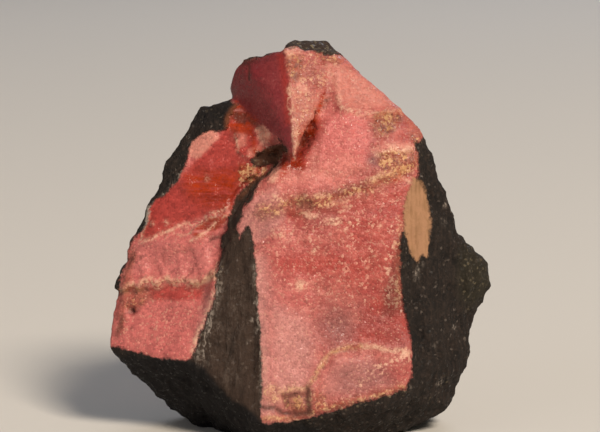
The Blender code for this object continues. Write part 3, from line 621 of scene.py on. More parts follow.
@dataclass
class Specimen:
    """The stone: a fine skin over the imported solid, with its small relief and its finish shares.

    A drawn outline wanders and frays by the outline measures.  The depths say how far back, along y, the
    front faces, the gash and the clay reach.  The gash's colours fade over the two heights of a pair, and
    the distances that the material frays are kept within the limit.
    """

    name: str = "pyroxmangite_specimen"
    voxel_mm: float = 0.5
    smoothing_rounds: int = 3
    facing_rounds: int = 12
    proud_rounds: int = 10
    resting_mm: float = 0.15
    outline_wander_mm: float = 0.4
    outline_wander_size_mm: float = 2.6
    outline_fray_mm: float = 0.18
    outline_fray_size_mm: float = 0.9
    front_depth_mm: float = 2.0
    gash_depth_mm: float = -2.0
    clay_depth_mm: float = -4.0
    gash_top_mm: Point = (66.9, 65.7)
    gash_rust_mm: Point = (62.0, 63.6)
    gash_shade_mm: Point = (59.8, 61.0)
    splinter_pitch_mm: float = 1.5
    pit: Point = (-35.1, 26.1)
    limit_mm: float = 6.0
    heights: Heights = Heights()

    def build(self) -> bpy.types.Object:
        """Makes the skin, its relief and its shares.

        Returns:
            The finished object, without a material.
        """
        self.stone = self.remeshed()
        mesh = self.stone.data
        self.points = rows(mesh.vertices, "co", 3) / MM
        self.edges = rows(mesh.edges, "vertices", 2, np.int64)
        self.quads = rows(mesh.polygons, "vertices", 4, np.int64)
        self.degree = np.bincount(self.edges.ravel(), minlength=len(self.points)).astype(float)

        resting = self.points[:, 2] < self.resting_mm
        self.points = self.averaged(self.points, self.smoothing_rounds)
        self.outward = self.normals()
        self.facing = self.averaged(self.outward, self.facing_rounds)
        self.find_shares()
        self.points = self.points + self.outward * self.relief()[:, None]
        self.points[:, 2] = np.where(resting, 0.0, np.maximum(self.points[:, 2], 0.0))
        self.shares[Share.PROUD] = self.proud()
        self.store()
        return self.stone

    def remeshed(self) -> bpy.types.Object:
        """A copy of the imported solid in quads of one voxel's size."""
        stone = bpy.data.objects.new(self.name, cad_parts[CAD_NODE].data.copy())
        bpy.context.scene.collection.objects.link(stone)
        remesh = stone.modifiers.new("skin", "REMESH")
        remesh.mode = "VOXEL"
        remesh.voxel_size = self.voxel_mm * MM
        remesh.adaptivity = 0.0
        graph = bpy.context.evaluated_depsgraph_get()
        skin = bpy.data.meshes.new_from_object(stone.evaluated_get(graph))
        stone.modifiers.clear()
        stone.data = skin
        skin.materials.clear()
        skin.name = self.name
        return stone

    def averaged(self, values: np.ndarray, rounds: int) -> np.ndarray:
        """Values spread over the skin by averaging each point with its neighbours.

        Args:
            values: an (n, k) array.
            rounds: how often it is averaged.

        Returns:
            An array of the same shape.
        """
        first, second = self.edges.T
        for _ in range(rounds):
            around = np.zeros_like(values)
            for here, there in ((first, second), (second, first)):
                for column, total in zip(values.T, around.T):
                    total += np.bincount(here, column[there], len(column))
            values = 0.5 * values + 0.5 * around / self.degree[:, None]
        return values

    def normals(self) -> np.ndarray:
        """Unit normals of the skin at its points, an (n, 3) array."""
        a, b, c, d = (self.points[self.quads[:, k]] for k in range(4))
        across = np.cross(c - a, d - b)
        total = np.zeros_like(self.points)
        for k in range(4):
            for axis in range(3):
                total[:, axis] += np.bincount(self.quads[:, k], across[:, axis], len(total))
        return total / np.maximum(np.linalg.norm(total, axis=1), 1e-9)[:, None]

    def find_shares(self) -> None:
        """Works out how much of each finish every point takes, and how far it is from the pink's edge."""
        points, depth, level = self.points, self.points[:, 1], self.points[:, 2]
        wander = [
            self.outline_wander_mm * lumps(points, self.outline_wander_size_mm, seed)
            + self.outline_fray_mm * lumps(points, self.outline_fray_size_mm, seed + 4.0)
            for seed in (1.0, 2.0)
        ]
        self.drawn = points[:, [0, 2]] + np.stack(wander, 1)
        toward_front = -self.facing[:, 1]
        front = fade(toward_front, -0.3, -0.02)
        front = front * fade(depth, self.front_depth_mm + 1.0, self.front_depth_mm - 1.0)
        self.shares = {
            kind: front * np.max([shape.share(self.drawn) for shape in shapes], axis=0)
            for kind, shapes in SHAPES.items()
        }
        edges = [Patch(face).distance(self.drawn) for face in (MAIN_FACE, LEFT_FACE, KNOB_SIDE)]
        edges += [3.0 * Trail(line, 1.1).share(self.drawn) - 1.5 for line in (CREST, KNOB_FOOT)]
        edge = np.minimum(np.max(edges, axis=0), (toward_front + 0.2) * 8.0)
        edge = np.minimum(edge, self.front_depth_mm - depth)
        near_front = self.gash_depth_mm - depth
        edge = np.maximum(edge, np.minimum(4.0 * Trail(GASH, 3.0).share(self.drawn) - 2.0, near_front))
        # the gash wall: stain colours, and umber low down as painted shade
        wall = Trail(GASH, 1.7).share(self.drawn) * fade(near_front, -0.5, 0.5)
        self.add_zones(wall * fade(level, *self.gash_top_mm), {
            Share.RUST: fade(level, *self.gash_rust_mm),
            Share.RED: np.ones(len(points)),
            Share.UMBER: 0.4 * fade(level, 63.6, 62.4) * fade(level, *self.gash_shade_mm),
        })
        pink = np.maximum(edge, self.find_window(toward_front))
        clay = np.minimum(Patch(CLAY_SKIN).distance(self.drawn), self.clay_depth_mm - depth)
        self.shares[Share.PINK_MM] = np.clip(pink, -self.limit_mm, self.limit_mm)
        self.shares[Share.CLAY_MM] = np.clip(clay, -self.limit_mm, self.limit_mm)

    def add_zones(self, where: np.ndarray, zones: dict[Share, np.ndarray]) -> None:
        """Raises some shares in one place.

        Args:
            where: how much each point is in that place, 0 to 1.
            zones: the shares there.
        """
        for kind, strength in zones.items():
            self.shares[kind] = np.maximum(self.shares[kind], where * strength)

    def find_window(self, toward_front: np.ndarray) -> np.ndarray:
        """Where the back is bare of crust, and what colours it there.

        Args:
            toward_front: how far each point's skin looks to the front, -1 to 1.

        Returns:
            The distance from the bare part's edge in mm, above 0 inside.
        """
        points = self.points
        bare = Patch(WINDOW).distance(points[:, [0, 2]])
        bare = bare + 3.6 * lumps(points, 9.0, 31.0) + 1.8 * lumps(points, 3.6, 33.0)
        bare = np.minimum(bare, 9.0 * (0.5 - lumps(points, 4.6, 35.0)))
        window = np.minimum(bare, (-toward_front - 0.2) * 8.0)
        share = fade(window, -1.0, 1.0)
        dirty = 0.8 * fade(lumps(points, 5.0, 43.0), 0.2, 0.45)
        self.add_zones(share, {
            Share.RED: 0.9 * fade(lumps(points, 7.5, 41.0, stretch=(1.0, 0.5)), 0.02, 0.35),
            Share.OCHRE: np.maximum(dirty, 0.7 * fade(window, 2.2, 0.6)),
            Share.ASHEN: 0.8 * fade(lumps(points, 8.5, 45.0), 0.05, 0.35),
            Share.GRAINS: 0.35 + 0.5 * fade(lumps(points, 4.0, 47.0), 0.0, 0.4),
        })
        self.shares[Share.WINDOW] = share
        return window

    def relief(self) -> np.ndarray:
        """How far each point stands out from the smoothed solid: an (n,) array in mm."""
        points, shares, drawn, high = self.points, self.shares, self.drawn, self.heights
        pink = fade(shares[Share.PINK_MM], -0.3, 0.5)
        clay = fade(shares[Share.CLAY_MM], -0.3, 0.3)
        crust = (1.0 - pink) * (1.0 - clay)
        left = shares[Share.LEFT]
        middle = lumps(points, 2.8, 5.0)

        # the sugary pink with its raised grains and rims
        sugar = high.sugar * lumps(points, 1.1, 3.0) * (1.0 - 0.3 * left)
        sugar += high.swell * middle * (1.0 - 0.7 * left)
        height = pink * sugar * (1.0 - 0.85 * shares[Share.KNOB])
        height += pink * shares[Share.GRAINS] * high.grains * np.abs(lumps(points, 1.2, 7.0))
        height += pink * shares[Share.CREAM] * high.rims

        # the hackled floor of the bare window at the back
        hackles = high.window + high.hackles * np.abs(lumps(points, 6.0, 51.0))
        hackles -= high.fine_hackles * np.abs(lumps(points, 2.4, 53.0, stretch=(1.0, 0.6)))
        height -= shares[Share.WINDOW] * hackles

        # ledges, folds and rims
        front = fade(-self.facing[:, 1], -0.1, 0.2)
        for step in STEPS:
            height += front * step.height(drawn)

        # splinters of the glossy stained cleavage
        glossy = left * np.maximum(shares[Share.RED], shares[Share.RUST])
        across = 0.93 * points[:, 2] - 0.37 * points[:, 0] + 0.9 * lumps(points, 5.0, 9.0)
        splinters = high.splinters * (np.mod(across / self.splinter_pitch_mm, 1.0) - 0.5)
        height += glossy * splinters * fade(lumps(points, 6.0, 11.0), -0.3, 0.25)

        # the fluted and cragged crust, and its nub
        flutes = lumps(points, 1.9, 13.0, stretch=(1.0, 5.0))
        crags = np.abs(lumps(points, 3.6, 21.0, stretch=(1.0, 1.7)))
        rough = high.flutes * flutes + high.grit * lumps(points, 1.3, 15.0)
        rough += high.crust_swell * middle + high.crags * (0.25 - crags)
        height += crust * rough
        height += shares[Share.NUB] * high.nub * lumps(points, 1.9, 17.0)

        # sinks under umber grime and painted shade, the clay's strokes, the blade's tip beside the gash,
        # one pit
        height -= shares[Share.UMBER] * high.dirt_and_shade
        height += clay * high.clay_strokes * lumps(points, 1.6, 19.0, stretch=(0.5, 4.0))
        height += high.gash_tip * Spots((GASH_TIP,), 1.3).share(drawn)
        height -= high.pit * left * Spots((self.pit,), 0.8).share(drawn)
        return height

    def proud(self) -> np.ndarray:
        """How far each point stands above its surroundings in mm, below 0 in hollows: an (n,) array."""
        around = self.averaged(self.points, self.proud_rounds)
        return np.clip(((self.points - around) * self.normals()).sum(1), -1.0, 1.0)

    def store(self) -> None:
        """Puts the points and the shares into the mesh."""
        mesh = self.stone.data
        mesh.vertices.foreach_set("co", (self.points * MM).ravel())
        for share, values in self.shares.items():
            layer = mesh.attributes.new(share.value, "FLOAT", "POINT")
            layer.data.foreach_set("value", values.astype(np.float32))
        mesh.shade_smooth()
        mesh.update()

    def dress(self) -> None:
        """Gives the stone its layered material."""
        self.stone.data.materials.append(StoneMaterial().make())


# ---------------------------------------------------------------- finishes


@dataclass(frozen=True)
class Look:
    """What a finish gives: sockets for its colour, roughness and height in mm."""

    colour: Socket
    roughness: Socket
    height: Socket


@dataclass(frozen=True)
class Zone:
    """A part of the surface that is shifted towards a colour, as "#rrggbb", and how far."""

    where: Share
    code: str
    strength: float


@dataclass(frozen=True)
class MassivePyroxmangite:
    """Massive granular pyroxmangite, freshly broken.

    A sugary mass of glassy grains about half a millimetre across: each grain's broken face has its own
    shade, and about one in fifteen is smooth and glints.  Its zones run from rose to deep red, and brown
    grime with painted shade and ash-pink bruises lie over them.  The knob's purple-red is darkened with
    painted shade, the rim colour is partly a painted highlight, and fine cream specks are painted glints.
    """

    light: str = "#c67066"
    body: str = "#ad5450"
    deep: str = "#8f3c38"
    pale: str = "#db9281"
    shadow: str = "#4a1a16"
    cream: str = "#e2ab94"
    straw: str = "#d09b6c"
    rim_cream_and_highlight: str = "#efc2a6"
    umber: str = "#4b2c22"
    zones: tuple[Zone, ...] = (
        # the knob's purple-red is darkened as painted shade of its shaded left side
        Zone(Share.ROSE, "#d0706d", 0.75), Zone(Share.KNOB, "#761f28", 0.85),
        Zone(Share.RED, "#aa3830", 0.9),
        Zone(Share.PALE, "#db9281", 0.75), Zone(Share.ASHEN, "#cc8c86", 0.85),
        # grey hazy tint on the pink; where this share covers the underside it is painted shade
        Zone(Share.HAZE_AND_SHADE, "#7d5150", 0.8), Zone(Share.OCHRE, "#8f4c28", 0.5),
    )
    grain_mm: float = 0.5
    sway_mm: float = 0.7
    clot_mm: float = 1.7
    cloud_mm: float = 6.0
    cloud_squash: tuple[float, float, float] = (1.0, 1.0, 2.2)
    fibre_turn: float = 0.35
    fibre_scale: tuple[float, float, float] = (0.16, 0.5, 1.3)
    drift_mm: float = 1.5
    pit_mm: float = 0.8
    worm_mm: float = 1.1
    painted_glint_mm: float = 0.28
    grain_relief_mm: float = 0.0833
    speck_relief_mm: float = 0.05
    shades: Point = (0.88, 1.12)
    glinting: Point = (0.93, 0.95)
    roughness: float = 0.5
    glint_roughness: float = 0.28


@dataclass(frozen=True)
class IronStain:
    """Iron-oxide stain on cleavage faces: a thin glossy film, so its colour is deep and it looks wet."""

    orange: str = "#b4390c"
    dark: str = "#84260e"
    roughness: float = 0.3


@dataclass(frozen=True)
class ManganeseCrust:
    """Black manganese-oxide crust, weathered.

    It is a dull brown-black, streaked along its flutes; a few of its grains catch the light.
    """

    body: str = "#241d19"
    dark: str = "#161210"
    worn: str = "#3c3029"
    grain: str = "#8c7f66"
    rusty: str = "#7d4429"
    scuff: str = "#b9aca0"
    zones: tuple[Zone, ...] = (
        # near-black on the crust: painted shade on the underside, and darker crust at the upper left
        Zone(Share.DUSTY, "#4f3c31", 0.5), Zone(Share.HAZE_AND_SHADE, "#100d0f", 0.9),
        Zone(Share.NUB, "#2e2a1e", 0.7),
    )
    roughness: float = 0.9
    glint_roughness: float = 0.3
    speck_mm: float = 0.45
    blotch_mm: float = 4.5
    blotch_relief_mm: float = 0.5
    streak_mm: Point = (0.5, 4.0)
    streak_relief_mm: float = 0.45


@dataclass(frozen=True)
class ClaySkin:
    """A dried skin of tan clay, wiped on: dead matt, with faint strokes."""

    body: str = "#ab8060"
    dark: str = "#96704f"
    roughness: float = 0.9
    thickness_mm: float = 0.3
    stroke_mm: Point = (0.45, 3.5)
    stroke_relief_mm: float = 0.05


@dataclass
class StoneMaterial:
    """The stone's whole surface: pyroxmangite with its stains and grains, then the crust, then the clay.

    An edge between two of them is moved by up to edge[0] mm and fades over edge[1] mm to each side; lean is
    how far a grain's face tilts, and how much further in the pyroxmangite.
    """

    mass: MassivePyroxmangite = MassivePyroxmangite()
    stain: IronStain = IronStain()
    crust: ManganeseCrust = ManganeseCrust()
    clay: ClaySkin = ClaySkin()
    fray_mm: float = 0.8
    pink_edge: Point = (1.1, 0.22)
    clay_edge: Point = (1.4, 0.3)
    lean: Point = (0.3, 0.04)
    ior: float = 1.72
    specular: float = 0.2

    def make(self) -> bpy.types.Material:
        """Builds the material.

        Returns:
            The finished material.
        """
        material = bpy.data.materials.new("pyroxmangite with manganese-oxide crust, rough broken")
        material.use_nodes = True
        self.tree = material.node_tree
        self.tree.nodes.clear()
        self.mm = self.add("VectorMath.SCALE", self.add("TexCoord", output="Object"), Scale=1.0 / MM)
        self.share = {
            kind: self.add("Attribute", attribute_name=kind.value, output="Fac") for kind in Share
        }
        self.cut_grains()
        # painted shade darkens the hollows of the pink and of the crust; crushed arrises are paled
        pink = self.shaded_hollows_worn_arrises(self.speckled(self.pink()), self.mass.shadow, self.mass.pale)
        crust = self.shaded_hollows_worn_arrises(self.crusted(), self.crust.dark, self.crust.worn)
        fray = self.add("TexNoise", self.mm, Scale=1 / self.fray_mm, Detail=3.0, Roughness=0.6)
        bare = self.frayed(self.share[Share.PINK_MM], fray, *self.pink_edge)
        clay = self.frayed(self.share[Share.CLAY_MM], fray, *self.clay_edge)
        whole = self.over(self.over(crust, pink, bare), self.clay_look(), clay)

        bump = self.add("Bump", Strength=1.0, Distance=MM, Height=whole.height)
        tilt = self.add("VectorMath.SUBTRACT", self.tint, (0.5, 0.5, 0.5))
        lean = self.add("Math.MULTIPLY_ADD", bare, self.lean[1], self.lean[0])
        tilt = self.add("VectorMath.SCALE", tilt, Scale=lean)
        normal = self.add("VectorMath.NORMALIZE", self.add("VectorMath.ADD", bump, tilt))
        shader = self.add("BsdfPrincipled", IOR=self.ior, Specular_IOR_Level=self.specular,
                          Base_Color=whole.colour, Roughness=whole.roughness, Normal=normal)
        self.add("OutputMaterial", shader)
        return material

    def add(self, kind: str, *values: object, output: int | str = 0, **named: object) -> Socket | None:
        """Adds a node with its settings and links.

        Args:
            kind: the node's type without "ShaderNode", and its operation or data type after a dot.
            *values: for its sockets in order, a number, colour or vector to hold, or a socket that
                feeds it; None leaves one as it is.
            output: the output that is wanted.
            **named: the same for its properties, and its sockets by name, with "_" for a space.

        Returns:
            The wanted output, or None where the node has none.
        """
        kind, _, mode = kind.partition(".")
        node = self.tree.nodes.new("ShaderNode" + kind)
        if mode:
            setattr(node, "data_type" if kind == "Mix" else "operation", mode)
        for name, value in [*enumerate(values), *named.items()]:
            if isinstance(name, str) and hasattr(node, name):
                setattr(node, name, value)
                continue
            socket = node.inputs[name.replace("_", " ") if isinstance(name, str) else name]
            if isinstance(value, Socket):
                self.tree.links.new(value, socket)
            elif value is not None:
                socket.default_value = value
        return node.outputs[output] if len(node.outputs) else None

    def over(self, below: Look, above: Look, share: Socket) -> Look:
        """Lays one look over another.

        Args:
            below: the look underneath.
            above: the look on top.
            share: how much of the top one shows, 0 to 1.

        Returns:
            The two together.
        """
        roughness = self.add("Mix", share, None, below.roughness, above.roughness)
        height = self.add("Mix", share, None, below.height, above.height)
        return Look(self.tinted(below.colour, above.colour, share), roughness, height)

    def tinted(self, colour: Socket | str, other: Socket | str, share: Socket,
               strength: float = 1.0) -> Socket:
        """Shifts a colour towards another; each is a socket or an "#rrggbb" code.

        Args:
            colour: the colour so far.
            other: the colour to shift to.
            share: where it shifts, 0 to 1.
            strength: how far it shifts where share is 1.

        Returns:
            The new colour.
        """
        if strength != 1.0:
            share = self.add("Math.MULTIPLY", share, strength, use_clamp=True)
        pair = [linear(c) if isinstance(c, str) else c for c in (colour, other)]
        return self.add("Mix.RGBA", share, None, None, None, None, None, *pair, output=2)

    def zoned(self, colour: Socket, zones: tuple[Zone, ...]) -> Socket:
        """A colour with its zones laid over it in turn."""
        for zone in zones:
            colour = self.tinted(colour, zone.code, self.share[zone.where], zone.strength)
        return colour

    def frayed(self, distance: Socket, fray: Socket, amount_mm: float, soft_mm: float) -> Socket:
        """A ragged edge from a signed distance.

        Args:
            distance: the distance in mm, above 0 inside.
            fray: noise from 0 to 1 that moves the edge.
            amount_mm: how far the noise moves it.
            soft_mm: how far the edge fades to each side.

        Returns:
            A share from 0 outside to 1 inside.
        """
        moved = self.add("Math.MULTIPLY_ADD", fray, amount_mm, distance)
        middle = 0.5 * amount_mm
        return self.add("MapRange", moved, middle - soft_mm, middle + soft_mm)

    def cut_grains(self) -> None:
        """Makes the broken grains: a random tint for each, its three parts, and how far its middle is."""
        sway = self.add("TexNoise", self.mm, Scale=1 / self.mass.sway_mm, Detail=2.0, output="Color")
        bent = self.add("VectorMath.MULTIPLY_ADD", sway, (0.5, 0.5, 0.5), self.mm)
        self.middle = self.add("TexVoronoi", bent, Scale=1 / self.mass.grain_mm)
        self.tint = self.middle.node.outputs["Color"]
        self.parts = self.add("SeparateColor", self.tint).node.outputs

    def pink(self) -> Look:
        """The bare pyroxmangite with its zones and stains."""
        mass, share = self.mass, self.share
        banded = self.add("VectorMath.MULTIPLY", self.mm, mass.cloud_squash)
        cloud = self.add("TexNoise", banded, Scale=1 / mass.cloud_mm, Detail=4.0, Roughness=0.6)
        clots = self.add("TexNoise", self.mm, Scale=1 / mass.clot_mm, Detail=3.0, Roughness=0.65)
        ramp = self.add("MapRange", cloud, 0.36, 0.66)
        fibres = self.add("Mapping", self.mm, Rotation=(0.0, mass.fibre_turn, 0.0), Scale=mass.fibre_scale)
        fibres = self.add("TexNoise", fibres, Scale=1.0, Detail=4.0, Roughness=0.6, Distortion=0.5)
        even = self.add("Math.MULTIPLY_ADD", share[Share.ROSE], -0.75, 1.0)
        dark = self.add("Math.MULTIPLY", self.add("MapRange", clots, 0.52, 0.3), even)
        colour = self.tinted(mass.body, mass.light, ramp)
        colour = self.tinted(colour, mass.deep, self.add("MapRange", fibres, 0.5, 0.68), 0.35)
        colour = self.tinted(colour, mass.pale, self.add("MapRange", fibres, 0.45, 0.28), 0.45)
        colour = self.zoned(self.tinted(colour, mass.deep, dark, 0.45), mass.zones)

        patchy = self.add("Math.MULTIPLY_ADD", fibres, 5.0, -1.6, use_clamp=True)
        rust = self.add("Math.MULTIPLY", share[Share.RUST], patchy, use_clamp=True)
        stained = self.tinted(colour, self.tinted(self.stain.dark, self.stain.orange, ramp), rust)

        # each grain its own shade, but none on the smooth knob or under the film of stain
        quiet = self.add("Math.MAXIMUM", share[Share.KNOB], rust)
        shade = self.add("MapRange", self.parts[0], 0.0, 1.0, *mass.shades)
        shaded = self.add("VectorMath.SCALE", stained, Scale=self.add("Mix", quiet, None, shade, 1.0))
        glint = self.add("MapRange", self.parts[1], *mass.glinting, mass.roughness, mass.glint_roughness)
        polish = self.add("Math.MULTIPLY_ADD", share[Share.KNOB], 0.16, self.stain.roughness)
        roughness = self.add("Mix", quiet, None, glint, polish)
        pillow = self.add("Math.MULTIPLY", self.middle, -mass.grain_relief_mm)
        swell = self.add("Math.MULTIPLY_ADD", share[Share.LEFT], -0.1, 0.16)
        return Look(shaded, roughness, self.add("Math.MULTIPLY_ADD", clots, swell, pillow))

    def speckled(self, below: Look) -> Look:
        """Adds the cream grains, the pale rims, partly a painted highlight, the painted glints,
        and the brown grime with painted shade.

        Args:
            below: the pyroxmangite's look.

        Returns:
            The look with them.
        """
        mass, share = self.mass, self.share
        drift = self.add("TexNoise", self.mm, Scale=1 / mass.drift_mm, Detail=3.0, Roughness=0.6)
        density = self.add("MapRange", drift, 0.4, 0.62, 0.12, 0.95)
        density = self.add("Math.MULTIPLY", density, share[Share.GRAINS])
        speck = self.add("MapRange", self.add("Math.ADD", density, self.parts[2]), 0.98, 1.5)
        pits = self.add("TexNoise", self.mm, Scale=1 / mass.pit_mm, Detail=3.0, Roughness=0.65)
        pitted = self.add("MapRange", pits, 0.5, 0.36)
        pitted = self.add("Math.MULTIPLY", pitted, share[Share.OCHRE], use_clamp=True)
        colour = self.tinted(below.colour, mass.umber, pitted, 0.65)
        colour = self.tinted(colour, self.tinted(mass.cream, mass.straw, share[Share.OCHRE]), speck)

        # pale rims: cream, and on crests and ledges partly a painted highlight
        worms = self.add("TexNoise", self.mm, Scale=1 / mass.worm_mm, Detail=3.0, Distortion=1.2)
        rim = self.add("MapRange", worms, 0.38, 0.6)
        rim = self.add("Math.MULTIPLY", rim, share[Share.CREAM], use_clamp=True)
        colour = self.tinted(colour, self.tinted(mass.rim_cream_and_highlight, mass.straw, share[Share.OCHRE]), rim, 0.9)

        # painted glints: tiny cream specks for sparkle, kept off the knob and the stained film
        film = self.add("Math.MULTIPLY", share[Share.RED], share[Share.LEFT])
        painted_glint_area = self.add("Math.SUBTRACT", 1.0, self.add("Math.MAXIMUM", share[Share.KNOB], film))
        glint_cells = self.add("TexVoronoi", self.mm, Scale=1 / mass.painted_glint_mm, output="Color")
        painted_glints = self.add("MapRange", self.add("SeparateColor", glint_cells), 0.9, 1.0, 0.0, 0.5)
        colour = self.tinted(colour, mass.cream, self.add("Math.MULTIPLY", painted_glints, painted_glint_area))
        # umber: brown grime and dark lines, and painted shade under the knob and low in the gash
        colour = self.tinted(colour, mass.umber, share[Share.UMBER], 0.85)
        height = self.add("Math.MULTIPLY_ADD", speck, mass.speck_relief_mm, below.height)
        return Look(colour, below.roughness, height)

    def streaks(self, size_mm: Point, detail: float, roughness: float, distortion: float) -> Socket:
        """Noise drawn out along the stone's height.

        Args:
            size_mm: the streaks' width and length.
            detail: the noise's detail.
            roughness: the noise's roughness.
            distortion: the noise's distortion.

        Returns:
            The noise, 0 to 1.
        """
        across, along = 1 / size_mm[0], 1 / size_mm[1]
        drawn_out = self.add("VectorMath.MULTIPLY", self.mm, (across, across, along))
        kind = {"Detail": detail, "Roughness": roughness, "Distortion": distortion}
        return self.add("TexNoise", drawn_out, Scale=0.6, **kind)

    def crusted(self) -> Look:
        """The manganese-oxide crust."""
        kind, share = self.crust, self.share
        streaks = self.streaks(kind.streak_mm, 4.0, 0.65, 0.4)
        blotch = self.add("TexNoise", self.mm, Scale=1 / kind.blotch_mm, Detail=5.0, Roughness=0.65)
        specks = self.add("TexVoronoi", self.mm, Scale=1 / kind.speck_mm, output="Color")
        bits = self.add("SeparateColor", specks).node.outputs
        colour = self.tinted(kind.dark, kind.body, self.add("MapRange", blotch, 0.35, 0.65))
        colour = self.tinted(colour, kind.worn, self.add("MapRange", streaks, 0.5, 0.7), 0.6)
        colour = self.tinted(colour, kind.worn, self.add("MapRange", bits[2], 0.45, 1.0), 0.5)
        colour = self.tinted(colour, kind.scuff, self.add("MapRange", bits[2], 0.96, 1.0), 0.16)
        colour = self.zoned(colour, kind.zones)
        crowd = self.add("Math.MULTIPLY_ADD", share[Share.GRAINS], 0.22, bits[1])
        colour = self.tinted(colour, kind.grain, self.add("MapRange", crowd, 0.99, 1.2, 0.0, 0.75))
        colour = self.tinted(colour, kind.rusty, share[Share.RUST], 0.8)

        # chalky scrapes: broken into crumbs where thin, solid where thick
        scraped = self.add("MapRange", streaks, 0.42, 0.56)
        crumbs = self.add("MapRange", bits[1], 0.35, 0.75, 0.25, 1.3)
        scraped = self.add("Math.MULTIPLY", scraped, crumbs)
        rubbed = self.add("Math.MULTIPLY", share[Share.CHALK], scraped, use_clamp=True)
        solid = self.add("MapRange", share[Share.CHALK], 0.75, 1.0, 0.0, 0.5)
        rubbed = self.add("Math.ADD", rubbed, solid, use_clamp=True)
        colour = self.tinted(colour, kind.scuff, rubbed, 0.9)

        roughness = self.add("MapRange", bits[0], 0.9, 0.98, kind.roughness, kind.glint_roughness)
        fine = self.add("Math.MULTIPLY", streaks, kind.streak_relief_mm)
        fine = self.add("Math.MULTIPLY_ADD", bits[2], 0.1, fine)
        return Look(colour, roughness, self.add("Math.MULTIPLY_ADD", blotch, kind.blotch_relief_mm, fine))

    def clay_look(self) -> Look:
        """The clay skin."""
        kind = self.clay
        strokes = self.streaks(kind.stroke_mm, 3.0, 0.5, 0.0)
        colour = self.tinted(kind.body, kind.dark, self.add("MapRange", strokes, 0.56, 0.3))
        roughness = self.add("Math.MULTIPLY_ADD", strokes, 0.05, kind.roughness - 0.05)
        height = self.add("Math.MULTIPLY_ADD", strokes, kind.stroke_relief_mm, kind.thickness_mm)
        return Look(colour, roughness, height)

    def shaded_hollows_worn_arrises(self, below: Look, dirt_and_shade: str, worn: str) -> Look:
        """Darkens the hollows with painted shade and pales the arrises where the grains are crushed.

        Args:
            below: the look so far.
            dirt_and_shade: the colour of the painted shade in hollows, as "#rrggbb".
            worn: the colour of arrises, as "#rrggbb".

        Returns:
            The weathered look.
        """
        proud = self.share[Share.PROUD]
        colour = self.tinted(below.colour, dirt_and_shade, self.add("MapRange", proud, -0.03, -0.35), 0.3)
        colour = self.tinted(colour, worn, self.add("MapRange", proud, 0.12, 0.5), 0.3)
        return Look(colour, below.roughness, below.height)


# ---------------------------------------------------------------- studio


@dataclass(frozen=True)
class Lamp:
    """A square soft light that stands round the stone, its angles in degrees."""

    name: str
    colour: str
    azimuth: float
    elevation: float
    distance_m: float
    size_m: float
    watts: float


@dataclass(frozen=True)
class MattCard:
    """White card, uncoated: a dead matt, warm white with no glint."""

    colour: str = "#dcd8d0"
    roughness: float = 0.9

    def make(self) -> bpy.types.Material:
        """Builds the material."""
        material = bpy.data.materials.new("card, matt white")
        material.use_nodes = True
        shader = material.node_tree.nodes["Principled BSDF"]
        shader.inputs["Base Color"].default_value = linear(self.colour)
        shader.inputs["Roughness"].default_value = self.roughness
        return material


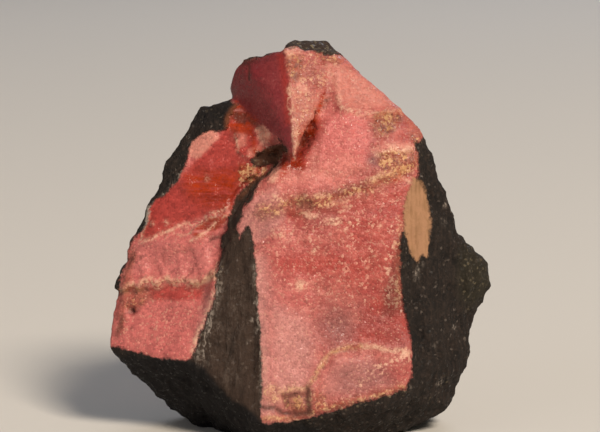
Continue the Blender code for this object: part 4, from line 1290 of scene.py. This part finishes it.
@dataclass
class Studio:
    """A pale matt floor, soft light and the camera."""

    target_mm: tuple[float, float, float] = (-0.2, 0.0, 44.4)
    distance_m: float = 0.5
    elevation: float = 8.0
    pixel_mm: float = 0.2116
    image_width: int = 600
    sensor_mm: float = 36.0
    clip_m: Point = (0.01, 20.0)
    lamps: tuple[Lamp, ...] = (
        Lamp("key", "#fff1e0", 32.0, 42.0, 3.0, 0.8, 92.0),
        Lamp("fill", "#eef2ff", -50.0, 25.0, 2.0, 1.2, 2.5),
        Lamp("rim", "#eef2ff", 165.0, 40.0, 3.0, 1.6, 22.0),
    )
    floor_radius_m: float = 4.0
    bend_m: float = 0.5
    wall_m: float = 1.6
    turns: int = 96
    bends: int = 8
    surroundings: str = "#d9dbe0"
    surroundings_strength: float = 0.12

    def build(self) -> None:
        """Adds the camera, the lights, the surroundings and the floor."""
        self.camera()
        self.lights()
        world = bpy.data.worlds.new("studio")
        world.use_nodes = True
        background = world.node_tree.nodes["Background"]
        background.inputs["Color"].default_value = linear(self.surroundings)
        background.inputs["Strength"].default_value = self.surroundings_strength
        bpy.context.scene.world = world
        bpy.context.scene.view_settings.view_transform = "Standard"
        self.floor()

    def place(self, name: str, data: bpy.types.ID, azimuth: float, elevation: float,
              distance_m: float) -> bpy.types.Object:
        """Adds a camera or a light round the stone, looking at it.

        Args:
            name: the object's name.
            data: its camera or light.
            azimuth: where it stands, in degrees from the front.
            elevation: how high, in degrees.
            distance_m: how far from the target.

        Returns:
            The object.
        """
        a, e = math.radians(azimuth), math.radians(elevation)
        away = Vector((math.sin(a) * math.cos(e), -math.cos(a) * math.cos(e), math.sin(e)))
        thing = bpy.data.objects.new(name, data)
        bpy.context.scene.collection.objects.link(thing)
        thing.location = Vector(self.target_mm) * MM + away * distance_m
        thing.rotation_mode = "QUATERNION"
        thing.rotation_quaternion = (-away).to_track_quat("-Z", "Y")
        return thing

    def camera(self) -> None:
        """Adds the camera."""
        data = bpy.data.cameras.new("camera")
        data.sensor_width = self.sensor_mm
        data.lens = self.sensor_mm * self.distance_m / (self.image_width * self.pixel_mm * MM)
        data.clip_start, data.clip_end = self.clip_m
        bpy.context.scene.camera = self.place("camera", data, 0.0, self.elevation, self.distance_m)

    def lights(self) -> None:
        """Adds the lamps."""
        for lamp in self.lamps:
            data = bpy.data.lights.new(lamp.name, "AREA")
            data.size, data.energy = lamp.size_m, lamp.watts
            data.color = linear(lamp.colour)[:3]
            self.place(lamp.name, data, lamp.azimuth, lamp.elevation, lamp.distance_m)

    def floor(self) -> None:
        """Adds the floor: a wide disc of matt card under the stone, turned up into a wall far out."""
        profile = [(self.floor_radius_m, 0.0)]
        for step in range(1, self.bends + 1):
            a = 0.5 * math.pi * step / self.bends
            out, up = self.bend_m * math.sin(a), self.bend_m * (1.0 - math.cos(a))
            profile.append((self.floor_radius_m + out, up))
        profile.append((self.floor_radius_m + self.bend_m, self.wall_m))
        angles = [k * math.tau / self.turns for k in range(self.turns)]
        corners = [(out * math.cos(a), out * math.sin(a), up) for out, up in profile for a in angles]
        faces = [tuple(range(self.turns))]
        for row in range(len(profile) - 1):
            for k in range(self.turns):
                low, beside = row * self.turns + k, row * self.turns + (k + 1) % self.turns
                faces.append((low, low + self.turns, beside + self.turns, beside))
        mesh = bpy.data.meshes.new("floor")
        mesh.from_pydata(corners, [], faces)
        mesh.shade_smooth()
        mesh.materials.append(MattCard().make())
        floor = bpy.data.objects.new("floor", mesh)
        bpy.context.scene.collection.objects.link(floor)


def main() -> None:
    """Builds the studio and the stone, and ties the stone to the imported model."""
    logging.basicConfig(level=logging.INFO, format="%(name)s: %(message)s")
    Studio().build()
    log.info("studio: camera, three lights and the floor")
    specimen = Specimen()
    stone = specimen.build()
    specimen.dress()
    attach(stone, BODY)
    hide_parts(CAD_NODE)
    log.info("%s: %d faces", stone.name, len(stone.data.polygons))


if __name__ == "__main__":
    main()
